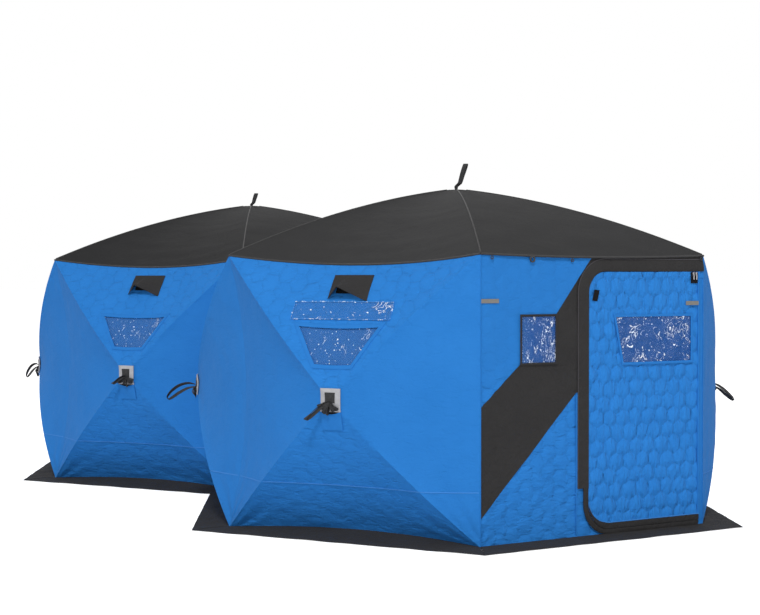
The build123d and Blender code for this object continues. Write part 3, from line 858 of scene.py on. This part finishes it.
def panel(place, surface, corners, lift, columns, rows, thick, share=0.0, shake=None, stretch=1.0):
    piece = newGrid(columns, rows)
    x, y, _ = readPoints(piece).T
    a, b = ((x + 1) / 2)[:, None], ((y + 1) / 2)[:, None]
    lowLeft, lowRight, highRight, highLeft = (np.array(corner, float) for corner in corners)
    spot = (1 - b) * ((1 - a) * lowLeft + a * lowRight) + b * ((1 - a) * highLeft + a * highRight)
    u, z, n = surface(spot[:, 0], spot[:, 1])
    n = n + lift
    if shake:
        u, z, n = shake(x, y, u, z, n)
    writeUv(piece, u * stretch, z)
    writeQuilt(piece, share(x, y) if callable(share) else share)
    setDown(piece, place, u, z, n)
    thicken(piece, thick)
    return piece


def tube(points, radius):
    curve = bpy.data.curves.new("tube", "CURVE")
    curve.dimensions = "3D"
    spline = curve.splines.new("NURBS")
    spline.points.add(len(points) - 1)
    for knot, point in zip(spline.points, points):
        knot.co = (*point, 1)
    spline.order_u = 3
    spline.use_endpoint_u = True
    curve.resolution_u = trim["tubeSteps"]
    curve.bevel_depth = radius
    curve.bevel_resolution = trim["tubeSides"]
    curve.use_fill_caps = True
    piece = bpy.data.objects.new("tube", curve)
    bpy.context.collection.objects.link(piece)
    pick(piece)
    bpy.ops.object.convert(target="MESH")
    bpy.ops.object.shade_smooth()
    return bpy.context.object


def strap(points, sides, width, thick):  # flat webbing along points, sides gives its width direction
    points = np.array(points, float)
    sides = np.array(sides, float)
    sides = sides / np.linalg.norm(sides, axis=1)[:, None]
    piece = newGrid(len(points) - 1, 2)
    x, y, _ = readPoints(piece).T
    index = stationOf(x, len(points))
    writePoints(piece, points[index] + sides[index] * (y * width / 2)[:, None])
    writeUv(piece, runAlong(points)[index], np.zeros(len(x)))
    thicken(piece, thick, 0)
    return piece


def smoothPath(points, count):  # points on a smooth curve through a strap's bends
    points = np.array(points, float)
    found = np.empty((count, points.shape[1]))
    for row, value in enumerate(np.linspace(0, len(points) - 1, count)):
        k = min(int(value), len(points) - 2)
        f = value - k
        p0, p1, p2, p3 = (points[min(max(k + j, 0), len(points) - 1)] for j in (-1, 0, 1, 2))
        found[row] = 0.5 * (2 * p1 + (p2 - p0) * f + (2 * p0 - 5 * p1 + 4 * p2 - p3) * f**2
                            + (3 * p1 - p0 - 3 * p2 + p3) * f**3)
    return found


# wall windows, blinds, hems and seams
windowTrim = {"slip": 0.002, "lap": 0.02, "sideLap": 0.0265, "seamHeight": 0.326, "seamEnds": (0.866, 0.826)}
filmCrease = {"rim": 0.15, "deep": 0.0035, "size": 0.11, "fine": 0.0016, "fineTall": 1.4, "fineSize": 0.045}
creaseSeed = {"wall": 40, "side": 61, "door": 62, "strip": 91}


def crinkled(seed):
    def shake(x, y, u, z, n):
        rim = clamp((1 - np.maximum(np.abs(x), np.abs(y))) / filmCrease["rim"])
        broad = filmCrease["deep"] * ripple(u, z, filmCrease["size"], seed)
        fine = filmCrease["fine"] * ripple(u, z * filmCrease["fineTall"], filmCrease["fineSize"], seed + 1)
        return u, z, n + rim * (broad + fine)
    return shake


sideShine = {"middle": 1.05, "slope": 0.35}


def sideGlint(x, y):  # the side window's painted glints are densest beside the door
    return sideShine["middle"] + sideShine["slope"] * x


wallPane = dict(lift=-0.0065, columns=44, rows=22, thick=0.0015, share=0.35, stretch=1.6)
wallBlind = dict(lift=-0.013, columns=30, rows=18, thick=0.003, share=0.5)
wallHem = dict(width=0.026 / 0.866, lift=0.0060, thick=0.0055, closed=True, shift=-0.006)
wallSeam = dict(width=0.007, lift=0.0042, thick=0.002, across=2, step=0.03)
sidePane = dict(lift=-0.0015, columns=24, rows=26, thick=0.0015, share=sideGlint, stretch=2.8)
sideBlind = dict(lift=-0.016, columns=20, rows=20, thick=0.003, share=0.5)


def makeWindows(room):
    panes, blinds, hems, seams = [], [], [], []
    bottom, top, wide = (windowShape[key] for key in ("bottom", "top", "wide"))
    slip, lap, grow = (windowTrim[key] for key in ("slip", "lap", "sideLap"))
    pane = trapezium(bottom + slip, top - slip, wide - 2 * slip)
    cover = trapezium(bottom - lap, top + lap, wide + lap)
    for count, node in enumerate(wallsOf[room]):
        heading, _, drawn = hubWalls[node]
        place = wallPlace(heading, rooms[room])
        panes.append(panel(place, onWall(node), pane, shake=crinkled(creaseSeed["wall"] + count), **wallPane))
        blinds.append(panel(place, onWall(node), cover, **wallBlind))
        hems.append(band(place, onWall(node), trapezium(bottom, top, wide), **wallHem))
        far, near = windowTrim["seamEnds"]
        seamLine = [(end, windowTrim["seamHeight"]) for end in sorted((-drawn * far, drawn * near))]
        seams.append(band(place, onWallAt(node), seamLine, **wallSeam))
    place = endPlace(rooms[room])
    hole = endWall["window"][::-1]
    (left, low), (right, high) = hole[0], hole[2]
    panes.append(panel(place, onFlat(0.0), hole, shake=crinkled(creaseSeed["side"]), **sidePane))
    cover = rectangle(left - grow, right + grow, low - grow, high + grow)
    blinds.append(panel(place, onFlat(0.0), cover, **sideBlind))
    pane = dress(panes, room + "_window_panes", clearVinyl, "clear_vinyl", room + "_wall_windows")
    blind = dress(blinds, room + "_window_blind_cloth", blueQuilt, "blue_cloth", room + "_window_blinds")
    dress(hems, room + "_window_hems", blueTape, "blue_cloth")
    dress(seams, room + "_wall_seams", bluePipingPaintedHighlight, "blue_cloth")


for room in rooms:
    makeWindows(room)


# clear strip on the front left wall
stripShine = {"calm": 0.25, "bright": 1.35, "from": 0.35, "over": 0.4, "rise": 0.9}


def stripGlint(x, y):  # brightest at the upper right, where it catches the light
    bright = clamp((x - stripShine["from"]) / stripShine["over"]) * clamp(y + stripShine["rise"])
    return stripShine["calm"] + stripShine["bright"] * bright


stripCorners = rectangle(-0.341, 0.341, 1.337, 1.442)
stripPane = dict(lift=0.009, columns=70, rows=14, thick=0.0015, share=stripGlint, stretch=0.8)
stripHem = dict(width=0.0042, lift=0.010, thick=0.006, closed=True)
leftPlace, leftWall = wallPlace(hubWalls["front_left_wall"][0], rooms["front"]), onWallAt("front_left_wall")
clearStrip = panel(leftPlace, leftWall, stripCorners, shake=crinkled(creaseSeed["strip"]), **stripPane)
dress([clearStrip], "front_clear_strip_pane", stripVinyl, "clear_vinyl", "front_clear_strip")
hem = band(leftPlace, leftWall, stripCorners, **stripHem)
dress([hem], "front_clear_strip_hem", hemPaintedGlints, "blue_cloth")
print("windows made")


# vent hoods
vent = {"half": 0.137, "low": 1.4597, "high": 1.6047, "apex": -0.30, "prop": 0.062, "rise": 0.078,
        "propBend": 1.1, "riseBend": 1.6, "droop": 0.012, "longLeg": 1.35, "fold": 0.010, "foldAt": 0.25,
        "foldSlant": 0.6, "foldWide": 0.45, "off": 0.003, "screenLap": 0.012}


def hoodBuckle(x, y, u, z, n):  # the lower edge is propped up in a lopsided arch
    drop = (1 - y) / 2
    leg = np.where(x < vent["apex"], (x + 1) / (vent["apex"] + 1), (1 - x) / (1 - vent["apex"]))
    arch = clamp(leg) ** np.where(x < vent["apex"], 1.0, vent["longLeg"])
    fold = clamp(1 - np.abs(x - vent["foldAt"] + vent["foldSlant"] * y) / vent["foldWide"])
    n = n + vent["prop"] * arch * drop ** vent["propBend"]
    n = n + vent["fold"] * fold * drop * (1 - x * x) + vent["off"] * drop
    z = z + vent["rise"] * arch * drop ** vent["riseBend"] - vent["droop"] * drop * clamp(x) ** 2
    return u, z, n


ventHood = dict(lift=0.007, columns=36, rows=20, thick=0.003, shake=hoodBuckle)
ventScreen = dict(lift=-0.002, columns=20, rows=10, thick=0.002)


def makeVents(room):
    hoods, screens = [], []
    corners = rectangle(-vent["half"], vent["half"], vent["low"], vent["high"])
    lap = vent["screenLap"]
    reach = ventHole["half"] + lap
    opening = rectangle(-reach, reach, ventHole["bottom"] - lap, ventHole["top"] + lap)
    for node in wallsOf[room]:
        place = wallPlace(hubWalls[node][0], rooms[room])
        hoods.append(panel(place, onWallAt(node), corners, **ventHood))
        screens.append(panel(place, onWall(node), opening, **ventScreen))
    hood = dress(hoods, room + "_vent_hood_cloth", blackCloth, "black_cloth", room + "_vent_hoods")
    dress(screens, room + "_vent_mesh", darkMesh, "black_cloth")


for room in rooms:
    makeVents(room)
print("vents made")


# patches, tabs, pockets and pulls at the hubs
hubTrim = {"shift": (0.012, -0.008), "patchHalf": 0.069, "patchHigh": 0.0705, "front": 0.248,
           "tabHalf": 0.034, "tabLow": -0.016, "tabHigh": 0.046, "pocketHalf": 0.070, "pocketLow": 0.676,
           "pocketLap": 0.004, "gape": 0.020, "gapeOut": 0.012, "shadeInset": 0.006, "shadeHigh": 0.04,
           "root": 0.268}
hubPatch = dict(lift=0.0105, columns=16, rows=16, thick=0.005)
hubPocket = dict(lift=0.0085, columns=16, rows=14, thick=0.004)
# a black sheet behind the pocket's gaping mouth: painted shade inside the pocket
hubPocketShade = dict(lift=0.0050, columns=10, rows=6, thick=0.003)
hubTab = dict(lift=0.0145, columns=8, rows=8, thick=0.004)
bundle = {"folds": 7, "lean": 1.3, "long": (0.055, 0.085), "rise": (0.010, 0.030), "tilt": 0.6,
          "points": 26, "low": 0.014, "wide": 0.016, "thick": 0.0032}
pull = {"wide": 0.024, "thick": 0.0028, "points": 60, "twist": 0.95, "reach": (0.8, 1.3)}
pullLoop = [(-0.004, -0.004, 0.002), (-0.026, 0.006, 0.034), (-0.054, -0.012, 0.072),
            (-0.086, -0.052, 0.104), (-0.110, -0.094, 0.122), (-0.114, -0.110, 0.116),
            (-0.100, -0.098, 0.102), (-0.070, -0.062, 0.072), (-0.038, -0.030, 0.038),
            (-0.006, -0.016, 0.002)]  # along, up, out
slimLoop = [(-0.004, -0.004, 0.002), (-0.026, -0.012, 0.030), (-0.054, -0.038, 0.062),
            (-0.086, -0.074, 0.094), (-0.108, -0.101, 0.116), (-0.114, -0.114, 0.114),
            (-0.102, -0.107, 0.104), (-0.074, -0.078, 0.074), (-0.040, -0.041, 0.040),
            (-0.006, -0.016, 0.002)]
pullReach = {"front_left_mid_wall": 1.75, "rear_left_wall": 1.05}  # open loops and how far they stand out
pullSize = {"rear_left_mid_wall": 0.55}


def pullStraps(node, spot, along, out):
    dice = np.random.default_rng(wallSeed[node])
    straps = []
    for _ in range(bundle["folds"]):  # spare webbing folded in a bundle
        lean = dice.uniform(-bundle["lean"], bundle["lean"])
        length, rise = dice.uniform(*bundle["long"]), dice.uniform(*bundle["rise"])
        across, down = math.sin(lean) * length, -math.cos(lean) * length
        bends = [(0, 0, 0), (across * 0.5, down * 0.5, 0.002 + rise), (across, down, rise * 0.6),
                 (across * 0.6, down * 0.75 - 0.01, 0.003 + rise * 0.3), (0.004, -0.006, 0.002)]
        route = [spot(u, v - bundle["low"], n) for u, v, n in smoothPath(bends, bundle["points"])]
        tilt = dice.uniform(-bundle["tilt"], bundle["tilt"])
        tilt = math.cos(lean) * along + math.sin(lean) * up + tilt * out
        straps.append(strap(route, [tilt] * bundle["points"], bundle["wide"], bundle["thick"]))
    reach = pullReach.get(node, dice.uniform(*pull["reach"]))
    bends = np.array(pullLoop if node in pullReach else slimLoop) * pullSize.get(node, 1.0)
    route = np.array([spot(u, v, n * reach) for u, v, n in smoothPath(bends, pull["points"])])
    run = np.gradient(route, axis=0)
    edge = np.cross(run / np.linalg.norm(run, axis=1)[:, None], along)
    twist = pull["twist"] * np.abs(np.sin(np.linspace(0, 2 * math.pi, pull["points"])))[:, None]
    straps.append(strap(route, np.cos(twist) * along + np.sin(twist) * edge, pull["wide"], pull["thick"]))
    return straps


def gaping(x, y, u, z, n):  # the pocket's upper edge hangs open
    mouth = clamp((y + 1) / 2) ** 3 * (1 - x * x)
    return u, z - hubTrim["gape"] * mouth, n + hubTrim["gapeOut"] * mouth


def makeHubTrim(room):
    patches, tabs, pockets, pocketMouthShades = [], [], [], []
    half, high = hubTrim["patchHalf"], hubTrim["patchHigh"]
    hubZ = hut["hubZ"] + hubTrim["shift"][1]
    side, inset, top = hubTrim["pocketHalf"], hubTrim["shadeInset"], hubZ - high + hubTrim["pocketLap"]
    square = rectangle(-half, half, hubZ - high, hubZ + high)
    pocket = rectangle(-side, side, hubTrim["pocketLow"], top)
    pocketShadeCorners = rectangle(-side + inset, side - inset, top - hubTrim["shadeHigh"], top)
    tab = rectangle(-hubTrim["tabHalf"], hubTrim["tabHalf"], hubZ + hubTrim["tabLow"],
                    hubZ + hubTrim["tabHigh"])
    for node in wallsOf[room]:
        origin, along, out = wallPlace(hubWalls[node][0], rooms[room])
        place = (origin + hubTrim["shift"][0] * along, along, out)
        front = onWallAt(node)

        def flat(u, z):
            return u, z, np.maximum(front(u, z)[2], hubTrim["front"])

        def spot(u, v, n):
            return place[0] + u * along + (hubZ + v) * up + (hubTrim["root"] + n) * out

        patches.append(panel(place, flat, square, **hubPatch))
        pockets.append(panel(place, front, pocket, shake=gaping, **hubPocket))
        # painted shade: a black sheet shows through the pocket's open mouth
        pocketMouthShades.append(panel(place, front, pocketShadeCorners, **hubPocketShade))
        tabs.append(panel(place, flat, tab, **hubTab))
        tabs += pullStraps(node, spot, along, out)
    dress(patches, room + "_hub_patch_cloth", greyWebbing, "grey_patch", room + "_hub_patches")
    dress(pockets, room + "_hub_pockets", blueTape, "blue_cloth")
    dress(pocketMouthShades, room + "_pocket_mouth_shade", blackCloth, "black_cloth")
    dress(tabs, room + "_hub_pulls", blackWebbing, "webbing", room + "_pull_straps")


for room in rooms:
    makeHubTrim(room)
print("hub patches and pulls made")


# eave, ridge and corner piping
piping = {"eave": 0.0065, "eaveDown": 0.005, "eaveOut": 0.001, "ridge": 0.0045, "ridgeDown": 0.0005,
          "ridgeFrom": 0.045, "ridgeTo": 0.995, "corner": 0.0032, "cornerShort": 0.006,
          "points": 25, "cornerPoints": 31}


def makePiping(room):
    black, blue = [], []
    count = piping["points"]
    for heading in headings:
        place = wallPlace(heading, rooms[room])
        openSide = heading == (90 if room == "front" else 270)  # where the two rooms join
        if not openSide:
            u, z, n = roofSurface(np.linspace(-1, 1, count), np.ones(count), isScalloped(heading),
                                  endDrape(heading, room))
            eave = inRoom(place, u, z - piping["eaveDown"], n + piping["eaveOut"])
            black.append(tube(eave, piping["eave"]))
        t = np.linspace(piping["ridgeFrom"], piping["ridgeTo"], count)
        u, z, n = roofSurface(np.ones(count), t, False)
        black.append(tube(inRoom(place, u, z - piping["ridgeDown"], n), piping["ridge"]))
    for node in wallsOf[room]:
        heading, _, drawn = hubWalls[node]
        if "mid" not in node or room == "front":
            origin, along, _ = wallPlace(heading, rooms[room])
            y = np.linspace(-1, 1, piping["cornerPoints"])
            z = hut["hubZ"] + y * (hut["halfHigh"] - piping["cornerShort"])
            blue.append(tube(origin - drawn * hut["half"] * along + z[:, None] * up, piping["corner"]))
    dress(black, room + "_roof_piping", blackPiping, "black_cloth")
    dress(blue, room + "_corner_piping", blueTape, "blue_cloth")


# roof loops
loop = {"wide": 0.028, "thick": 0.003, "front": 1.0, "rear": 0.6, "twist": 1.1, "base": 2.1925, "points": 64}
loopTab = {"radius": 0.062, "cells": 24, "lift": 0.004, "dome": 0.012, "thick": 0.004}
loopPath = [(0, 0, 0), (-0.002, 0, 0.022), (0.010, -0.001, 0.036), (0.025, -0.003, 0.052),
            (0.036, -0.007, 0.095), (0.048, -0.009, 0.14), (0.060, -0.006, 0.173), (0.066, 0.001, 0.181),
            (0.069, 0.008, 0.172), (0.060, 0.011, 0.14), (0.044, 0.009, 0.095), (0.029, 0.005, 0.050),
            (0.014, 0.003, 0.034), (0.003, 0.002, 0.022), (0.003, 0.002, 0)]  # right, back, up


def makeLoop(room):
    centre = np.array((0.0, rooms[room], 0.0))
    disc = newGrid(loopTab["cells"], loopTab["cells"])
    x, y, _ = readPoints(disc).T
    shrink = np.maximum(np.abs(x), np.abs(y)) / np.maximum(np.hypot(x, y), tiny)  # square to round
    x, y = x * shrink, y * shrink
    rise = loop["base"] + loopTab["lift"] - loopTab["dome"] * (x * x + y * y)
    x, y = x * loopTab["radius"], y * loopTab["radius"]
    writeUv(disc, x, y)
    writePoints(disc, centre + np.stack([x, y, rise], 1))
    thicken(disc, loopTab["thick"])
    facing = math.radians(view["turn"])
    right, back = (math.cos(facing), -math.sin(facing), 0), (math.sin(facing), math.cos(facing), 0)
    axes = np.array((right, back, up))
    stem = loop[room] * smoothPath(loopPath, loop["points"]) @ axes
    part = np.linspace(0, 1, loop["points"])
    spin = loop["twist"] * clamp(np.abs(2 * part - 1) * 2 - 1)[:, None]  # face on, but for its stem
    sides = np.cos(spin) * axes[0] + np.sin(spin) * axes[1]
    lash = strap(centre + stem + loop["base"] * up, sides, loop["wide"], loop["thick"])
    dress([disc, lash], room + "_roof_loop", blackWebbing, "webbing", room + "_roof_strap")


for room in rooms:
    makePiping(room)
    makeLoop(room)
print("piping and roof loops made")


# door wall trim
doorTrim = {"zipRight": 0.870, "zipFoot": 0.30, "zipGap": 0.001, "stitchGap": 0.003, "footGap": 0.003,
            "rollFront": 0.0083, "roll": 0.0078, "rollPoints": 12, "blindLap": 0.012,
            "ringDrop": 0.018, "ringOut": 0.009, "ringThick": 0.32, "ringPoints": 17, "pullIn": 0.016}
zipCover = dict(width=0.074, lift=0.0165, thick=0.012, across=8, lean=0.0125)
zipStitch = dict(width=0.0045, lift=0.0022, thick=0.003, across=2)
zipBinding = dict(width=0.038, lift=0.0125, thick=0.011)
windowFrame = dict(width=0.014, lift=0.005, thick=0.005, closed=True, shift=0.006)
footBand = dict(width=0.034, lift=0.0030, thick=0.003, shift=0.017, flare=0.20)
footCord = dict(width=0.007, lift=0.0045, thick=0.005, shift=0.0375, flare=0.20)
doorHem = dict(width=0.016, lift=0.0030, thick=0.004, closed=True, shift=0.007)
panelSeam = dict(width=0.008, lift=0.0025, thick=0.004, across=2)
doorPane = dict(lift=-0.003, columns=50, rows=24, thick=0.0015, share=1.0, stretch=1.1)
doorBlind = dict(lift=-0.0105, columns=40, rows=20, thick=0.002, share=0.5)
smallTag = dict(lift=0.003, columns=6, rows=3, thick=0.003)
tabPatch = dict(lift=0.004, columns=8, rows=4, thick=0.004)
zipGarage = dict(lift=0.004, columns=8, rows=10, thick=0.003)
zipSlider = dict(lift=0.010, columns=6, rows=8, thick=0.006)
zipFinger = dict(lift=0.013, columns=6, rows=12, thick=0.003)
capPatch = dict(lift=0.003, columns=6, rows=6, thick=0.003)
wallTag = rectangle(-0.873, -0.745, 1.438, 1.463)
doorTag = rectangle(0.715, 0.822, 1.414, 1.440)
doorTab = [(-0.049, 1.449), (-0.011, 1.444), (0.006, 1.511), (-0.031, 1.515)]
zipPatch = rectangle(0.756, 0.812, 1.553, 1.623)
jambCap = rectangle(0.838, 0.8745, 1.586, 1.632)
sliderShape = [(-0.007, -0.022), (0.007, -0.022), (0.006, 0), (-0.006, 0)]  # from the top of the patch
fingerShape = [(-0.004, -0.048), (0.005, -0.047), (0.004, -0.012), (-0.004, -0.012)]
seamLine = [(-0.1575, 0.02), (-0.1575, 0.88)]
eaveRings = ((-0.80, 0.009), (-0.503, 0.016), (-0.20, 0.009), (0.85, 0.009))  # place along the wall, radius


def arc(centre, radius, start, end, count=9):
    turn = np.radians(np.linspace(start, end, count))
    return [(centre[0] + radius * math.cos(a), centre[1] + radius * math.sin(a)) for a in turn]


def outlinePath(gap):  # round the door: along its top and down its free side, then along its foot
    left, right, low, high = (doorShape[key] for key in ("left", "right", "low", "high"))
    top, foot = doorShape["topRadius"], doorShape["footRadius"]
    upper = [(right, high + gap)] + arc((left + top, high - top), top + gap, 90, 180)
    lower = arc((left + foot, low + foot), foot + gap, 180, 270) + [(right, low - gap)]
    return upper, lower


def zipPath(gap):  # the part of the outline that the zip cover follows
    upper, _ = outlinePath(gap)
    return [(doorTrim["zipRight"], upper[0][1])] + upper[1:] + [(upper[-1][0], doorTrim["zipFoot"])]


def makeDoorEdges(room):
    place, body = endPlace(rooms[room]), doorBody(room)
    wallFront, doorFront = onFlat(0.0), onFlat(doorShape["front"])
    _, bound = outlinePath(zipBinding["width"] / 2 + doorTrim["zipGap"])
    bound = [(bound[0][0], doorTrim["zipFoot"])] + bound
    black = [band(place, wallFront, zipPath(zipCover["width"] / 2 + doorTrim["zipGap"]), **zipCover),
             band(place, wallFront, bound, **zipBinding),
             band(place, wallFront, endWall["window"], **windowFrame)]
    dress(black, room + "_door_binding", blackCloth, "black_cloth")
    stitches = band(place, wallFront, zipPath(zipCover["width"] + doorTrim["stitchGap"]), **zipStitch)
    dress([stitches], room + "_zip_seam", seamThread, "black_cloth")
    _, hem = outlinePath(doorTrim["footGap"])
    foot = band(place, doorFront, hem, **footBand)
    dress([foot], room + "_door_foot_binding", blackCloth, "black_cloth", body=body)
    cord = band(place, doorFront, hem, **footCord)
    dress([cord], room + "_door_foot_piping", bluePipingPaintedHighlight, "blue_cloth", body=body)
    frameHem = band(place, doorFront, doorShape["window"], **doorHem)
    dress([frameHem], room + "_door_window_hem", blueTape, "blue_cloth", body=body)
    hinge = place[0] + doorShape["right"] * place[1] + doorTrim["rollFront"] * place[2]
    heights = np.linspace(doorShape["low"], doorShape["high"], doorTrim["rollPoints"])
    bead = tube([hinge + up * z for z in heights], doorTrim["roll"])
    dress([bead], room + "_door_roll", blueTape, "blue_cloth", body=body)


def makeDoorWindow(room):
    place, body, doorFront = endPlace(rooms[room]), doorBody(room), onFlat(doorShape["front"])
    hole, lap = doorShape["window"][::-1], doorTrim["blindLap"]
    pane = panel(place, doorFront, hole, shake=crinkled(creaseSeed["door"]), **doorPane)
    dress([pane], room + "_door_window_pane", clearVinyl, "clear_vinyl", room + "_door_window", body=body)
    cover = [(u + lap * a, z + lap * b) for (u, z), (a, b) in zip(hole, rectangle(-1, 1, -1, 1))]
    blind = panel(place, doorFront, cover, **doorBlind)
    dress([blind], room + "_door_blind_cloth", blueQuilt, "blue_cloth", room + "_door_blind", body=body)


def makeDoorTags(room):
    place, body = endPlace(rooms[room]), doorBody(room)
    wallFront, doorFront = onFlat(0.0), onFlat(doorShape["front"])
    dress([panel(place, wallFront, wallTag, **smallTag)], room + "_wall_tag", reflective, "grey_patch")
    for name, corners, look, material, slot in (
            ("_door_tag", doorTag, smallTag, reflective, "grey_patch"),
            ("_door_tab", doorTab, tabPatch, hookTape, "black_cloth"),
            ("_zip_garage", zipPatch, zipGarage, hookTape, "black_cloth")):
        dress([panel(place, doorFront, corners, **look)], room + name, material, slot, body=body)
    pulls = []
    (near, _), (far, high) = zipPatch[0], zipPatch[2]
    for u in (near + doorTrim["pullIn"], far - doorTrim["pullIn"]):
        for shape, look in ((sliderShape, zipSlider), (fingerShape, zipFinger)):
            pulls.append(panel(place, doorFront, [(u + a, high + b) for a, b in shape], **look))
    dress(pulls, room + "_zip_pulls", zipMetal, "hub_plastic", body=body)
    rings = []
    for u, radius in eaveRings:
        drop = hut["eave"] - eaveSag(u) - doorTrim["ringDrop"]
        centre = place[0] + u * place[1] + up * drop + place[2] * doorTrim["ringOut"]
        circle = [centre + radius * (math.cos(a) * place[1] + math.sin(a) * up)
                  for a in np.linspace(0, 2 * math.pi, doorTrim["ringPoints"])]
        rings.append(tube(circle, radius * doorTrim["ringThick"]))
    dress(rings, room + "_eave_rings", hubPlastic, "hub_plastic")
    seam = band(place, wallFront, seamLine, **panelSeam)
    cap = panel(place, wallFront, jambCap, **capPatch)
    dress([seam, cap], room + "_end_panel_seam", blueTape, "blue_cloth")


for room in rooms:
    makeDoorEdges(room)
    makeDoorWindow(room)
    makeDoorTags(room)
print("door wall trim made")


# poles and hubs keep their CAD shape
for room in rooms:
    for kind, material in (("_wall_poles", poleGlass), ("_roof_poles", poleGlass), ("_hubs", hubPlastic)):
        slots = bpy.data.objects[room + kind].data.materials
        slots.clear()
        slots.append(material)
print("poles and hubs finished")


# floor and light
floorLook = {"size": 400, "down": -0.0005, "colour": (0.86, 0.86, 0.86, 1), "glow": 0.72}
studio = {"light": 0.44, "backdrop": 0.56, "aim": (0, -0.5, 0.9)}
lamps = {"key": ((-13.2, -20.4, 22.05), 4.4, 4650), "fill": ((5.5, -10.5, 1.0), 3.0, 80),
         "low": ((-8.0, -9.5, 0.8), 3.0, 225), "back": ((6, 13, 11), 4, 430),
         "side": ((-7.0, 4.0, 2.0), 2.5, 50)}  # place, size, power
white = (1, 1, 1, 1)
clearSelection()
bpy.ops.mesh.primitive_plane_add(size=floorLook["size"], location=(0, 0, floorLook["down"]))
floor = bpy.context.object
floor.name = "floor"
floorMaterial, floorTree, floorShader = newMaterial("paleFloor", 0.9, 0.0)
floorShader.inputs["Base Color"].default_value = floorLook["colour"]
floorShader.inputs["Emission Color"].default_value = white
floorRays = addNode(floorTree, "ShaderNodeLightPath").outputs
floorTree.links.new(mathNode(floorTree, "MULTIPLY", floorRays["Is Camera Ray"], floorLook["glow"]),
                    floorShader.inputs["Emission Strength"])
floor.data.materials.append(floorMaterial)
floor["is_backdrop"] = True

world = bpy.data.worlds.new("studio")
bpy.context.scene.world = world
world.use_nodes = True
worldTree = world.node_tree
background = worldTree.nodes["Background"]
rays = addNode(worldTree, "ShaderNodeLightPath").outputs
mirrored = mathNode(worldTree, "MAXIMUM", rays["Is Glossy Ray"], rays["Is Transmission Ray"])
seen = mathNode(worldTree, "MAXIMUM", rays["Is Camera Ray"], mirrored)
background.inputs["Color"].default_value = white
worldTree.links.new(mathNode(worldTree, "MULTIPLY_ADD", seen, studio["backdrop"], studio["light"]),
                    background.inputs["Strength"])
for name, (place, size, power) in lamps.items():
    clearSelection()
    aim = np.array(studio["aim"]) - np.array(place)
    turn = (math.acos(-aim[2] / np.linalg.norm(aim)), 0, math.atan2(aim[1], aim[0]) - math.pi / 2)
    bpy.ops.object.light_add(type="AREA", location=place, rotation=turn)
    lamp = bpy.context.object
    lamp.name = name + "Lamp"
    lamp.data.size = size
    lamp.data.energy = power
print("floor and light set")

size = {"cad": [list(map(float, corner)) for corner in cadBox],
        "visual": [list(map(float, corner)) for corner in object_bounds()]}
